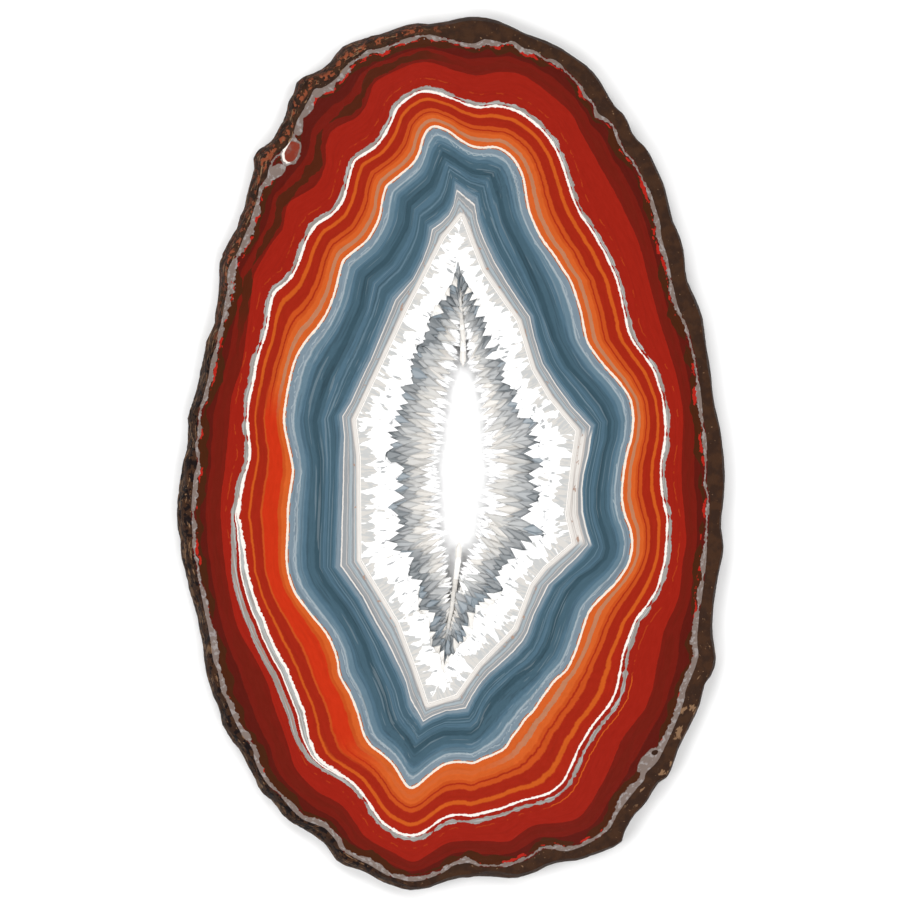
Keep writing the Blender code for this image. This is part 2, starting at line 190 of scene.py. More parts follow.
# %% The cream line between the orange and the blue
CREAM_LINE = runs(
    "cream",
    ((-2.2, 44.6),),
    ((-3.1, 44.1), (-3.8, 42.8), (-4.2, 41.2), (-5, 39.7), (-6.5, 38.3), (-8, 37.1)),
    ((-8.8, 36.3), (-9.3, 34.5), (-9.6, 32.6), (-10.3, 30.8), (-11.3, 29.2), (-12.5, 28.1),
     (-14, 26.9)),
    ((-14.7, 26.1), (-15.3, 24), (-15.7, 22.3), (-16.3, 20.5), (-17.2, 18.6), (-18.3, 17)),
    ((-19.5, 15.6), (-20.2, 14.6), (-21, 13.2), (-21.6, 11.5), (-22, 9.7), (-22.4, 7.6)),
    ((-22.7, 5.2), (-22.6, 3.3), (-22.2, 1.4), (-21.8, -0.5), (-21.5, -2.2), (-21.7, -4),
     (-22, -6), (-22.2, -8), (-22.2, -10), (-22.3, -12), (-22.4, -14)),
    ((-22.25, -15.8), (-22, -17), (-21.4, -18.7), (-20.6, -20), (-19.6, -21.3), (-18.5, -22.7),
     (-17.4, -24), (-16.5, -25.4), (-15.8, -27), (-15.4, -28.5), (-15.2, -30), (-14.7, -31.2),
     (-13.9, -32.5), (-13.2, -34), (-12.6, -35.7), (-12.2, -37.2)),
    ((-11.7, -38.7), (-10.8, -40), (-9.6, -40.9), (-8.2, -42.1), (-7.3, -43.3), (-6.6, -44.5),
     (-5.9, -45.5)),
    ((-5.2, -45.7), (-4.4, -45.3), (-3.4, -44.4), (-2.2, -43.4), (-0.8, -42.5), (0.5, -42.2),
     (1.8, -42.2)),
    ((3.1, -42.3), (4.5, -41.7), (6, -41.1), (7.4, -40.3), (8.4, -38.8), (9.4, -37.5),
     (10.2, -36.3), (11.3, -35.2), (12.3, -33.7), (13.3, -32.3), (14.3, -31)),
    ((15.7, -29.8), (16.3, -28.8), (17.1, -27), (17.7, -25.2), (18.3, -23.3), (18.9, -21.7)),
    ((19.9, -20.4), (21.2, -19.1), (22.5, -17.8), (23.6, -16.3), (24.3, -15), (24.7, -13.5)),
    ((24.8, -12), (24.5, -10.2), (23.9, -8.7), (23.5, -7)),
    ((23.4, -5.2), (23.6, -3), (23.9, -1), (24.3, 0.7), (24.7, 2)),
    ((24.95, 4.3), (24.9, 5.5), (24.6, 7.2), (23.9, 8.5), (22.6, 10.2), (21.2, 11.7),
     (19.8, 13.5), (18.7, 15.2), (18.2, 17.2)),
    ((18, 18.3), (17.8, 19.3), (17.2, 21.3), (16.4, 23.5), (15.3, 25.2), (14.1, 27.1),
     (12.8, 28.8), (11.8, 30.5), (10.8, 32.9)),
    ((10.4, 34.8), (10, 37.3), (9.4, 38.9)),
    ((8.5, 40.3), (7.3, 41.3), (6, 41.8), (4.5, 41.7), (3, 41.9), (1.3, 42.8), (0, 43.8),
     (-1, 44.3)),
)

# %% The darkest line of the blue, and the outer edge of the grey
DARK_LINE = runs(
    "dark",
    ((-0.9, 40.6),),
    ((-1.2, 39.9), (-2.5, 36.5)),
    ((-5.4, 33.9), (-5.8, 31), (-6.8, 29), (-8.5, 26.3)),
    ((-11.3, 23.8), (-12, 20), (-14, 15.5)),
    ((-15, 13.5), (-16.5, 10.5), (-17.8, 6.5)),
    ((-18.3, 4.3), (-18, 1.5), (-17.6, -1), (-17.6, -4), (-17.7, -8), (-17.9, -12)),
    ((-17.9, -15.6), (-17, -17.5), (-15.5, -19.5), (-14, -21.5), (-12.7, -23.7), (-11.5, -26.2),
     (-10.7, -28.7), (-9.6, -31), (-8.8, -33), (-8.3, -35)),
    ((-7.8, -36.5), (-6.8, -37.8), (-5.6, -39.2)),
    ((-4.9, -40.3), (-3.8, -39.5), (-2.7, -38.7), (-1, -38), (1, -38)),
    ((2.8, -38), (3.8, -37.2), (4.6, -35.3), (5.6, -33.6), (7.2, -32), (8.8, -30.5), (11, -29),
     (12.3, -27.6)),
    ((13.1, -26.2), (13.7, -24.5), (14.2, -22.5), (15, -20.5)),
    ((15.9, -18.8), (17.5, -17), (19.5, -15.8), (20.9, -14.5)),
    ((21.3, -13), (21, -11.5), (20.3, -9.5), (19.9, -7.5)),
    ((20, -5), (20.4, -2.5), (20.8, 0), (21.4, 2)),
    ((21.5, 4.4), (20.5, 6.5), (18.5, 9), (16, 11.7), (14, 15.5)),
    ((13, 18.4), (12, 21.5), (10.5, 25), (8.6, 29), (7.2, 32)),
    ((6.6, 34.5),),
    ((5.5, 38), (3, 38.2)),
)
GREY_LINE = runs(
    "grey",
    ((0.7, 36.9),),
    ((0.6, 36.2), (0.4, 34.5), (-0.3, 33), (-1.5, 31.8)),
    ((-2.9, 30.9), (-3.2, 29), (-4, 26.5), (-5.3, 24)),
    ((-7.9, 21.3), (-9, 18.5), (-10.5, 14.7)),
    ((-11.4, 12.6), (-12.3, 10.8), (-14, 7)),
    ((-15.2, 5.2), (-15, 2.5), (-15.2, -1), (-15.3, -5), (-15.5, -10)),
    ((-15.7, -15.6), (-14.2, -17.6), (-12.5, -20), (-11, -23), (-9, -26.5), (-7.2, -30),
     (-6.3, -32), (-5.7, -34.5)),
    ((-5.2, -35.4), (-4.3, -36.6)),
    ((-3.9, -37.3), (-2.5, -36.4), (-0.5, -35.6), (1, -35.5)),
    ((2.4, -35.3), (3.2, -33.6), (4.2, -32), (5.5, -30.5), (7, -29.3), (9, -27.5), (10.3, -26)),
    ((11, -24.6), (11.9, -22), (13.5, -19)),
    ((14, -18), (15.7, -16.5), (17.7, -14.5)),
    ((19.3, -12.6), (18.5, -10), (18.1, -8)),
    ((18, -5), (18.2, -3), (18.9, 0), (19.2, 2)),
    ((19.6, 3.8), (17, 6.5), (15, 9.3), (12.9, 12.5), (11.8, 16)),
    ((11.2, 18.8), (10, 20.6), (8.2, 23.4), (6.3, 26.6)),
    ((4.9, 29.5), (4, 32)),
    ((3.6, 34.8),),
)

# %% The edge of the hollow, where the quartz starts
HOLLOW_LINE = runs(
    "hollow",
    ((1.5, 32.4),),
    ((1.2, 32.0),),
    ((-0.9, 29.4),),
    ((-5.9, 19.7),),
    ((-9.1, 12.8),),
    ((-13.0, 4.5), (-12.4, -0.5)),
    ((-12.3, -14.6), (-7.1, -23.2), (-4.7, -29.6)),
    ((-4.3, -30.8),),
    ((-3.1, -34.3),),
    ((0.8, -33.1), (3.8, -28.9)),
    ((8.7, -23.9),),
    ((10.9, -18.1), (12.8, -15.6)),
    ((16.7, -12.3), (15.8, -8.5)),
    ((16.1, -5.6), (16.6, -1.0)),
    ((17.2, 3.0), (13.5, 7.5), (11.2, 11.4)),
    ((9.2, 18.0), (4.4, 24.9)),
    ((2.9, 28.7),),
    ((2.2, 30.6),),
)
LINES = (RIND_LINE, MAROON_LINE, WHITE_LINE, CREAM_LINE, DARK_LINE, GREY_LINE, HOLLOW_LINE)
SMOOTH_LINES = (True, True, True, True, False, False, False)
print("points drawn:", sum(len(run) for line in LINES for run in line.values()))

# %% [markdown]
# ## Spokes
# All the lines are read at the same number of places, evenly along each run. Joining the
# places with the same number gives spokes from the rind to the hollow, which bend with the
# corners. A spoke is to an agate what a ray is to a tree's rings: along it, one number tells
# which band a point is in.

# %% Curves through the drawn points
CURVE_PARTS = 8


def closed_curve(line, smooth):
    """A drawn line as many points, and where each corner's run starts among them."""
    drawn = np.array([p for corner in CORNERS for p in line[corner]]) - DRAWING_MIDDLE
    parts = CURVE_PARTS if smooth else 1
    before, after, beyond = (np.roll(drawn, shift, axis=0) for shift in (1, -1, -2))
    points = []
    for k in range(parts):
        t = k / parts
        points.append(0.5 * (2 * drawn + (after - before) * t
                             + (2 * before - 5 * drawn + 4 * after - beyond) * t ** 2
                             + (3 * drawn - before - 3 * after + beyond) * t ** 3))
    lengths = [len(line[corner]) for corner in CORNERS]
    starts = [sum(lengths[:i]) * parts for i in range(len(CORNERS))]
    return np.stack(points, axis=1).reshape(-1, 2), starts


def run_between(points, start, end):
    """The points from one corner to the next, both included, round the closed curve."""
    if end <= start:
        end += len(points)
    return points[np.arange(start, end + 1) % len(points)]


def length_of(run):
    return np.linalg.norm(np.diff(run, axis=0), axis=1).sum()


def evenly(run, count):
    """Evenly spaced places along a run, with its start and without its end."""
    walked = np.concatenate(([0], np.cumsum(np.linalg.norm(np.diff(run, axis=0), axis=1))))
    wanted = walked[-1] * np.arange(count) / count
    return np.stack([np.interp(wanted, walked, run[:, axis]) for axis in (0, 1)], axis=1)


print("parts between two drawn points of a smooth line:", CURVE_PARTS)

# %% The rind of the solid model, level by level
WELL_INSIDE = (30, 45)
LEVEL_REACH = 0.02
stone_points = np.array([v.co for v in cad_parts["agate_slice"].data.vertices]) / MM
on_rind = ((stone_points[:, :2] / WELL_INSIDE) ** 2).sum(axis=1) > 1
rind_points = stone_points[on_rind]
rind_heights = np.unique(np.round(rind_points[:, 2], 2))


def rind_at(height):
    """The rind's outline at one of its levels, in order round the slab."""
    level = rind_points[np.abs(rind_points[:, 2] - height) < LEVEL_REACH][:, :2]
    level = np.unique(np.round(level, 4), axis=0)
    return level[np.argsort(np.arctan2(level[:, 1], level[:, 0]))]


def face_edge():
    """The edge of the upper face as a closed curve, and its places nearest to the corners."""
    edge = rind_at(rind_heights[-1])
    corners = np.array(FACE_EDGE_CORNERS) - DRAWING_MIDDLE
    return edge, [int(np.argmin(np.linalg.norm(edge - corner, axis=1))) for corner in corners]


print("levels of the rind:", [float(h) for h in rind_heights])

# %% Eight lines read at the same spokes
SPOKE_PITCH = 0.36
OUTER_LINES = 4
curves = [face_edge()] + [closed_curve(*pair) for pair in zip(LINES, SMOOTH_LINES)]


def spokes():
    """For each of the eight lines, its place on every spoke."""
    places = [[] for _ in curves]
    for i in range(len(CORNERS)):
        following = (i + 1) % len(CORNERS)
        pieces = [run_between(points, starts[i], starts[following]) for points, starts in curves]
        mean = sum(length_of(piece) for piece in pieces[:OUTER_LINES]) / OUTER_LINES
        count = max(2, round(mean / SPOKE_PITCH))
        for place, piece in zip(places, pieces):
            place.append(evenly(piece, count))
    return [np.concatenate(place) for place in places]


line_places = spokes()
SPOKES = len(line_places[0])
print("spokes:", SPOKES)

# %% [markdown]
# ## The slab as one closed mesh
# A grid of rings and spokes can wrap right round the slab: across the upper face to the
# hollow, down the hollow's wall, back across the underside, and up the rind. Such a grid is
# all quads and closed by itself, so nothing has to be filled. The rings between two lines are
# spaced evenly along each spoke, and the rind's rings follow the solid model's levels, with
# finer lumps and pits added.

# %% Rings of the two faces
RINGS_BETWEEN = (3, 6, 5, 6, 5, 4, 4)


def face_rings():
    """Places of all rings of a face from its edge to the hollow, and each ring's band number."""
    places, bands = [], []
    for k, parts in enumerate(RINGS_BETWEEN):
        for step in range(parts):
            share = step / parts
            places.append(line_places[k] * (1 - share) + line_places[k + 1] * share)
            bands.append(k + share)
    places.append(line_places[-1])
    bands.append(len(RINGS_BETWEEN))
    return np.array(places), np.array(bands, float)


face_places, face_bands = face_rings()
print("rings on a face:", len(face_bands))

# %% The rind's own rings
RIND_RINGS = 26
PIT_DEPTH = 0.16
SMOOTH_SHARE = 0.45
GRAIN_SCALES = (1.5, 3.4)
CRACK_ACROSS = 0.5
CRACK_DOWN = 2.2
CRACK_DEPTH = 1.6
EDGE_FADE = 9
spoke_angles = np.arctan2(line_places[0][:, 1], line_places[0][:, 0])


def radius_at(level, angles):
    """How far out a level of the rind lies, at some angles."""
    turns = np.arctan2(level[:, 1], level[:, 0])
    return np.interp(angles, turns, np.hypot(level[:, 0], level[:, 1]), period=math.tau)


level_radii = np.array([radius_at(rind_at(height), spoke_angles) for height in rind_heights])


def rind_ring(height):
    """One ring of the rind, with grains and pits that are finer than the solid model's."""
    radii = np.array([np.interp(height, rind_heights, column) for column in level_radii.T])
    ring = np.empty((SPOKES, 3))
    for i, (angle, radius) in enumerate(zip(spoke_angles, radii)):
        spot = Vector((radius * math.cos(angle), radius * math.sin(angle), height))
        rough = min(max(0.5 - math.cos(angle) * 0.8, SMOOTH_SHARE), 1.0)
        grain = noise.noise(spot * GRAIN_SCALES[0]) + 0.6 * noise.noise(spot * GRAIN_SCALES[1])
        squeezed = Vector((spot.x * CRACK_ACROSS, spot.y * CRACK_ACROSS, spot.z * CRACK_DOWN))
        crack = max(noise.noise(squeezed), 0.0)
        depth = PIT_DEPTH * rough * (grain - CRACK_DEPTH * crack)
        near_face = min(height, THICKNESS - height) / THICKNESS
        depth = min(depth, 0.0) * min(1.0, near_face * EDGE_FADE)
        ring[i] = (spot.x * (1 + depth / radius), spot.y * (1 + depth / radius), height)
    return ring


print("rings of the rind:", RIND_RINGS)

# %% Put the whole grid together
WALL_RINGS = 3


def at_height(places, height):
    return np.column_stack((places, np.full(len(places), height)))


def slab_grid():
    """All rings of the slab in order, with each ring's band number."""
    rings = [at_height(places, THICKNESS) for places in face_places]
    bands = list(face_bands)
    for step in range(1, WALL_RINGS + 1):
        rings.append(at_height(line_places[-1], THICKNESS * (1 - step / (WALL_RINGS + 1))))
        bands.append(face_bands[-1])
    under_edge = np.column_stack((np.cos(spoke_angles), np.sin(spoke_angles)))
    under_edge = under_edge * level_radii[0][:, None]
    for places, band in zip(face_places[::-1][:-1], face_bands[::-1][:-1]):
        rings.append(at_height(places, 0.0))
        bands.append(band)
    rings.append(at_height(under_edge, 0.0))
    bands.append(0.0)
    for step in range(1, RIND_RINGS + 1):
        height = THICKNESS * step / (RIND_RINGS + 1)
        rings.append(rind_ring(height))
        bands.append(-min(height, THICKNESS - height))
    return np.array(rings), np.array(bands)


grid, ring_bands = slab_grid()
print("grid:", grid.shape[:2], "rings and spokes")


# %% A closed mesh from a grid
def mesh_from_grid(name, rings):
    """A mesh whose rings and spokes both close on themselves. Its places are in metres."""
    ring_count, spoke_count = rings.shape[:2]
    corner = np.arange(ring_count * spoke_count).reshape(ring_count, spoke_count)
    faces = np.stack([corner, np.roll(corner, -1, axis=1),
                      np.roll(np.roll(corner, -1, axis=0), -1, axis=1),
                      np.roll(corner, -1, axis=0)], axis=-1).reshape(-1, 4)
    mesh = bpy.data.meshes.new(name)
    mesh.from_pydata((rings.reshape(-1, 3) * MM).tolist(), [], faces.tolist())
    mesh.validate()
    made = bpy.data.objects.new(name, mesh)
    bpy.context.scene.collection.objects.link(made)
    return made


stone = mesh_from_grid("banded_stone", grid)
print("banded stone:", len(stone.data.polygons), "faces")

# %% [markdown]
# ## Numbers for the paint to read
# The paint needs to know where each point of the stone lies. The band number gives the wide
# bands. The thin lines keep their width wherever a band narrows, so they are painted by the
# distance in millimetres from a drawn line instead. A third set of numbers, the grain, turns
# with the spokes, so that any noise read from it is drawn out along the bands.


# %% Distances from the drawn lines
READING_PITCH = 0.04


def distance_to(curve, places):
    """How far each place is from a closed curve, and how far round the curve that is."""
    closed = np.vstack((curve, curve[:1]))
    count = int(length_of(closed) / READING_PITCH)
    tree = kdtree.KDTree(count)
    for i, (x, y) in enumerate(evenly(closed, count)):
        tree.insert((x, y, 0.0), i)
    tree.balance()
    found = np.array([tree.find((x, y, 0.0))[1:] for x, y in places])
    return found[:, 1], found[:, 0] * READING_PITCH


def write_number(piece, name, values):
    attribute = piece.data.attributes.new(name, "FLOAT", "POINT")
    attribute.data.foreach_set("value", np.asarray(values, np.float32).ravel())


print("a line is read every", READING_PITCH, "mm")

# %% Write the stone's numbers
GRAIN_RADIUS = 38.0
GRAIN_ACROSS = 5.0
MEASURED_LINES = {"from_rind": 1, "from_white": 3, "from_cream": 4, "from_hollow": 7}
band_numbers = np.repeat(ring_bands, SPOKES)
stone_places = grid.reshape(-1, 3)
write_number(stone, "band", band_numbers)
for name, number in MEASURED_LINES.items():
    inward = np.where(band_numbers >= number, 1.0, -1.0)
    write_number(stone, name, inward * distance_to(curves[number][0], stone_places[:, :2])[0])

turns = np.tile(math.tau * np.arange(SPOKES) / SPOKES, len(ring_bands))
grain = np.column_stack((GRAIN_RADIUS * np.cos(turns), GRAIN_RADIUS * np.sin(turns),
                         GRAIN_ACROSS * band_numbers + stone_places[:, 2] * (band_numbers < 0)))
grain_data = stone.data.attributes.new("grain", "FLOAT_VECTOR", "POINT")
grain_data.data.foreach_set("vector", grain.astype(np.float32).ravel())
print("numbers on the stone:", [a.name for a in stone.data.attributes if a.name[0] != "."])

# %% [markdown]
# ## A small paint box
# The colours are named once and used by name. The studio light makes white paper read a
# little over full white, so each colour is set a little darker than it should look. Shader
# nodes could be placed by hand in the editor, but a recipe of this many steps would be hard to
# read there. A small class wraps them instead: it adds a node with one word, and it keeps the
# colour so far, so that each new line or spot is laid over what is there.

# %% Named colours
LIGHT_GAIN = 1.45
HAZE = 0.003
DARKEST = 0.001
PALEST = 0.92
PALETTE = {
    "black": "1a110b", "rind": "442c1d", "rind_dark": "37241a", "tan": "8d6c50",
    "copper": "8e4a30", "rust": "88392b", "mauve": "85766f", "pale_mauve": "a09794", "bark": "4a2514",
    "plum": "5e1b14", "maroon": "761e15", "red": "9d2317", "hot_red": "b3271d",
    "warm_red": "a92817", "grey": "98908a", "light_grey": "b9bcba", "white": "fff6ee",
    "line_orange": "cb5a20", "deep_red": "a22817", "red_orange": "c93418", "amber": "c65020",
    "orange": "d36029", "peach": "bb8060", "cream": "fff0e0", "ochre": "b9663a",
    "slate": "8395a2", "haze": "b3bfc5", "blue": "6b8696", "steel": "567486", "sea": "4b6776",
    "deep_blue": "3e5865", "ice": "8b9aa3", "dove": "a3a7aa", "sand": "d5cdc7",
    "shell": "f0ebe5", "salmon": "b79a8a", "iron_grey": "6c7276", "smoke": "85888a",
    "ash": "9b9d9e", "flint": "b4b5b4", "linen": "c8c4be", "bone": "dcd8d2", "milk": "f1f0ed",
    "snow": "fdfdfc",
}


def paint(name, lift=1.0):
    """A named colour in linear light, from the standard curve of screens."""
    out = []
    for i in (0, 2, 4):
        shown = int(PALETTE[name][i:i + 2], 16) / 255
        linear = shown / 12.92 if shown <= 0.04045 else ((shown + 0.055) / 1.055) ** 2.4
        out.append(min(max(linear / LIGHT_GAIN - HAZE, DARKEST) * lift, PALEST))
    return (*out, 1.0)


print("colours:", len(PALETTE))

# %% Shader nodes as short words
class Recipe:
    """Builds one material. Most methods add a node and return the socket that it gives."""

    def __init__(self, name, base="white", lift=1.0):
        self.colour = base
        self.lift = lift
        self.material = bpy.data.materials.new(name)
        self.material.use_nodes = True
        self.tree = self.material.node_tree
        self.surface = self.tree.nodes["Principled BSDF"]

    def add(self, kind, inputs, output=0, **settings):
        node = self.tree.nodes.new(kind)
        for key, value in settings.items():
            setattr(node, key, value)
        for key, value in inputs.items():
            self.give(node.inputs[key], value)
        return node.outputs[output]

    def give(self, socket, value):
        if isinstance(value, bpy.types.NodeSocket):
            self.tree.links.new(value, socket)
        else:
            socket.default_value = value

    def dress(self, inputs):
        """Sets the inputs of the surface itself, such as its colour and its shine."""
        for key, value in inputs.items():
            self.give(self.surface.inputs[key], value)

    def number(self, name):
        return self.add("ShaderNodeAttribute", {}, "Fac", attribute_name=name)

    def vector(self, name):
        return self.add("ShaderNodeAttribute", {}, "Vector", attribute_name=name)

    def where(self):
        """The place in millimetres, as one vector and as its three numbers."""
        position = self.add("ShaderNodeTexCoord", {}, "Object")
        settings = {0: position, "Scale": 1 / MM}
        place = self.add("ShaderNodeVectorMath", settings, operation="SCALE")
        split = self.tree.nodes.new("ShaderNodeSeparateXYZ")
        self.give(split.inputs[0], place)
        return place, *split.outputs

    def math(self, operation, a, b=0.0, c=0.0):
        return self.add("ShaderNodeMath", {0: a, 1: b, 2: c}, operation=operation)

    def plus(self, first, *others):
        for other in others:
            first = self.math("ADD", first, other)
        return first

    def minus(self, a, b):
        return self.math("SUBTRACT", a, b)

    def times(self, first, *others):
        for other in others:
            first = self.math("MULTIPLY", first, other)
        return first

    def scaled(self, value, by, base):
        """A value times a number, plus a base."""
        return self.math("MULTIPLY_ADD", value, by, base)

    def noise(self, vector, scale, detail=3.0, rough=0.55, stretch=(1, 1, 1)):
        if stretch != (1, 1, 1):
            vector = self.add("ShaderNodeVectorMath", {0: vector, 1: stretch},
                              operation="MULTIPLY")
        settings = {"Vector": vector, "Scale": scale, "Detail": detail, "Roughness": rough}
        return self.add("ShaderNodeTexNoise", settings, "Fac")

    def rise(self, value, low, high):
        """0 below low, 1 above high, and smooth between them. It falls if low is above high."""
        settings = {"Value": value, "From Min": low, "From Max": high}
        return self.add("ShaderNodeMapRange", settings, interpolation_type="SMOOTHSTEP")

    def window(self, value, low, high, soft):
        """1 between low and high, and 0 outside them."""
        return self.times(self.rise(value, low - soft, low), self.rise(value, high + soft, high))

    def near(self, value, middle, reach):
        """1 where a value is within reach of the middle, and 0 elsewhere."""
        return self.math("COMPARE", value, middle, reach)

    def mix(self, share, under, over):
        node = self.tree.nodes.new("ShaderNodeMix")
        node.data_type = "RGBA"
        for key, value in ((0, share), (6, under), (7, over)):
            named = isinstance(value, str)
            self.give(node.inputs[key], paint(value, self.lift) if named else value)
        return node.outputs[2]

    def lay(self, share, over):
        """Lays a colour over all the colour so far."""
        self.colour = self.mix(share, self.colour, over)

    def mix_number(self, share, under, over):
        node = self.tree.nodes.new("ShaderNodeMix")
        for key, value in ((0, share), (2, under), (3, over)):
            self.give(node.inputs[key], value)
        return node.outputs[0]

    def ramp(self, value, stops):
        """A row of named colours, from (place, name) pairs."""
        node = self.tree.nodes.new("ShaderNodeValToRGB")
        self.give(node.inputs[0], value)
        elements = node.color_ramp.elements
        while len(elements) < len(stops):
            elements.new(0.5)
        for element, (place, name) in zip(elements, stops):
            element.position = place
        for element, (place, name) in zip(elements, stops):
            element.color = paint(name, self.lift)
        return node.outputs[0]

    def tell(self, step):
        print(f"{step}: {len(self.tree.nodes)} shader nodes so far")


print("words of a recipe:", *[word for word in vars(Recipe) if word[0] != "_"])


# %% From bands to stops
def stripes(bands, soft=0.012):
    """Stops for a ramp of flat bands with slightly soft edges, from (start, colour) pairs."""
    stops = []
    for i, (start, name) in enumerate(bands):
        end = bands[i + 1][0] if i + 1 < len(bands) else 1.0
        stops += [(min(start + soft, 1.0) if start else 0.0, name), (max(end - soft, 0.0), name)]
    return stops


print("stops for two bands:", stripes(((0, "red"), (0.5, "white"))))

# %% [markdown]
# ## The stone's paint: wide bands
# Each zone of the stone has its own row of bands: the maroon, the red, the orange, the blue
# and the grey. One colour ramp for the whole stone would need more than the 32 stops that a
# ramp can hold, so every zone gets a ramp of its own. The left side of this stone is redder
# than the right in the orange zone, and the grey zone is sandier on the right, so these two
# have a second row and a soft mask.

# %% Rows of bands
MAROON_ROW = stripes(((0, "plum"), (0.42, "plum"), (0.5, "maroon"), (0.86, "maroon")))
ORANGE_LEFT = stripes(((0, "warm_red"), (0.19, "line_orange"), (0.235, "deep_red"),
                       (0.44, "amber"), (0.48, "red_orange"), (0.79, "amber"), (0.86, "orange")))
ORANGE_RIGHT = stripes(((0, "warm_red"), (0.19, "line_orange"), (0.27, "deep_red"),
                        (0.48, "amber"), (0.57, "deep_red"), (0.6, "amber"), (0.66, "orange")))
BLUE_ROW = stripes(((0, "slate"), (0.13, "haze"), (0.15, "blue"), (0.24, "steel"),
                    (0.3, "sea"), (0.43, "deep_blue"), (0.52, "sea"), (0.6, "steel"),
                    (0.7, "sea"), (0.74, "blue"), (0.765, "sea"), (0.9, "steel"), (0.96, "blue")))
GREY_LEFT = stripes(((0, "slate"), (0.17, "ice"), (0.2, "white"), (0.25, "dove"),
                     (0.42, "sand"), (0.45, "dove"), (0.52, "haze"), (0.64, "dove"),
                     (0.74, "sand"), (0.77, "haze"), (0.86, "dove")))
GREY_RIGHT = stripes(((0, "shell"), (0.1, "dove"), (0.3, "sand"), (0.42, "shell"),
                      (0.66, "sand"), (0.72, "shell"), (0.9, "dove")))
print("widest row:", len(BLUE_ROW), "stops of at most 32")

# %% Wobble of the band edges, and masks
# Places are in millimetres from the middle of the slice, so a rise of across from -2 to -12
# is 0 just left of the middle and 1 further out on the left.
r = Recipe("banded_agate", "rind")
grain_at = r.vector("grain")
band = r.number("band")
place, across, along, height = r.where()

slow_wave = r.plus(r.noise(grain_at, 0.55, 3.0, stretch=(1, 1, 0.3)), -0.5)
quick_wave = r.plus(r.noise(grain_at, 3.2, 2.0, stretch=(1, 1, 0.6)), -0.5)
wobble = r.plus(r.times(slow_wave, 0.07), r.times(quick_wave, 0.03))
wavy_band = r.plus(band, wobble)
left_side = r.times(r.rise(across, -2.0, -12.0), r.window(along, -38.0, 4.0, 7.0))
right_corner = r.times(r.rise(across, 11.0, 14.0), r.window(along, -11.5, 2.0, 1.5))


def zone(start, width=1):
    """Where a point is within one zone, from 0 to 1."""
    return r.scaled(wavy_band, 1 / width, -start / width)


r.tell("masks and waves")

# %% The wide bands
MAROON, RED, ORANGE, BLUE, GREY = 1, 2, 3, 4, 6
orange_right = r.ramp(zone(ORANGE), ORANGE_RIGHT)
at_foot = r.times(r.rise(along, -34.0, -42.0), r.rise(across, 12.0, 4.0))
peach_share = r.times(r.near(zone(ORANGE), 0.815, 0.045), r.scaled(at_foot, -0.8, 0.9))
orange_right = r.mix(peach_share, orange_right, "peach")
orange = r.mix(left_side, orange_right, r.ramp(zone(ORANGE), ORANGE_LEFT))
greys = r.mix(right_corner, r.ramp(zone(GREY), GREY_LEFT), r.ramp(zone(GREY), GREY_RIGHT))
zones = ((MAROON, r.ramp(zone(MAROON), MAROON_ROW)), (RED, "red"), (ORANGE, orange),
         (BLUE, r.ramp(zone(BLUE, GREY - BLUE), BLUE_ROW)), (GREY, greys))
for start, shade in zones:
    r.lay(r.math("GREATER_THAN", wavy_band, float(start)), shade)

fine = r.noise(grain_at, 1.0, 1.5, 0.5, stretch=(0.1, 0.1, 2.6))
in_blue = r.window(wavy_band, BLUE, GREY + 0.9, 0.05)
light_strokes = r.times(r.rise(fine, 0.62, 0.65), r.times(in_blue, 0.2))
dark_strokes = r.times(r.rise(fine, 0.4, 0.37), r.scaled(in_blue, 0.12, 0.05))
r.lay(light_strokes, "haze")
r.lay(dark_strokes, "black")
r.tell("wide bands")

# %% [markdown]
# ## The stone's paint: thin lines
# A white and a grey line part the red from the orange, and low on the left they split into
# strands. A cream line parts the orange from the blue, with a thin orange echo inside it, and
# a pale hair runs through the blue. Their widths change a little along the way, as if drawn
# by a hand. Narrow bands of a ramp would swell wherever the zone is wide. So each line is
# painted where the distance from a drawn line is near a middle, within a reach, and both are
# in millimetres, minus on the rind's side and plus on the hollow's.

# %% The white line and its grey strands
from_white = r.plus(r.number("from_white"), r.times(quick_wave, 0.22))
swell = r.noise(grain_at, 0.75, 3.0, stretch=(1, 1, 0.1))
teeth = r.noise(grain_at, 2.4, 2.0, stretch=(1, 1, 0.1))
strand = r.times(r.rise(across, -5.0, -12.0), r.rise(along, -3.0, -20.0),
                 r.rise(along, -46.0, -36.0))
low_side = r.times(r.rise(along, -22.0, -34.0), r.rise(across, -8.0, 2.0))
right_side = r.rise(across, 8.0, 18.0)
grey_middle = r.plus(r.scaled(strand, -1.45, -0.42), r.times(low_side, -0.46))
grey_reach = r.scaled(swell, 1.1, r.scaled(right_side, -0.03, -0.3))
grey_reach = r.mix_number(strand, grey_reach, 0.4)
ribbon = r.noise(grain_at, 1.0, 2.0, 0.6, stretch=(0.2, 0.2, 7.0))
grey_shade = r.mix(r.rise(ribbon, 0.5, 0.62), "grey", "light_grey")
r.lay(r.near(from_white, grey_middle, grey_reach), grey_shade)
echo_share = r.plus(r.times(r.rise(swell, 0.48, 0.54), 0.35),
                    r.times(r.rise(across, 12.0, 16.0), r.window(along, -49.0, -31.0, 1.0)))
echo = r.near(from_white, r.scaled(swell, 0.8, -2.2), 0.07)
r.lay(r.times(echo, echo_share), "line_orange")
strand_fill = r.times(r.rise(strand, 0.1, 0.2),
                      r.near(from_white, r.times(strand, -0.43), r.times(strand, 0.43)))
ribbon_shade = r.mix(r.rise(ribbon, 0.42, 0.5), "grey", "light_grey")
r.lay(strand_fill, ribbon_shade)
lower_strand = r.near(from_white, r.scaled(strand, -0.7, -0.16), 0.09)
r.lay(r.times(r.rise(strand, 0.06, 0.1), lower_strand), "white")
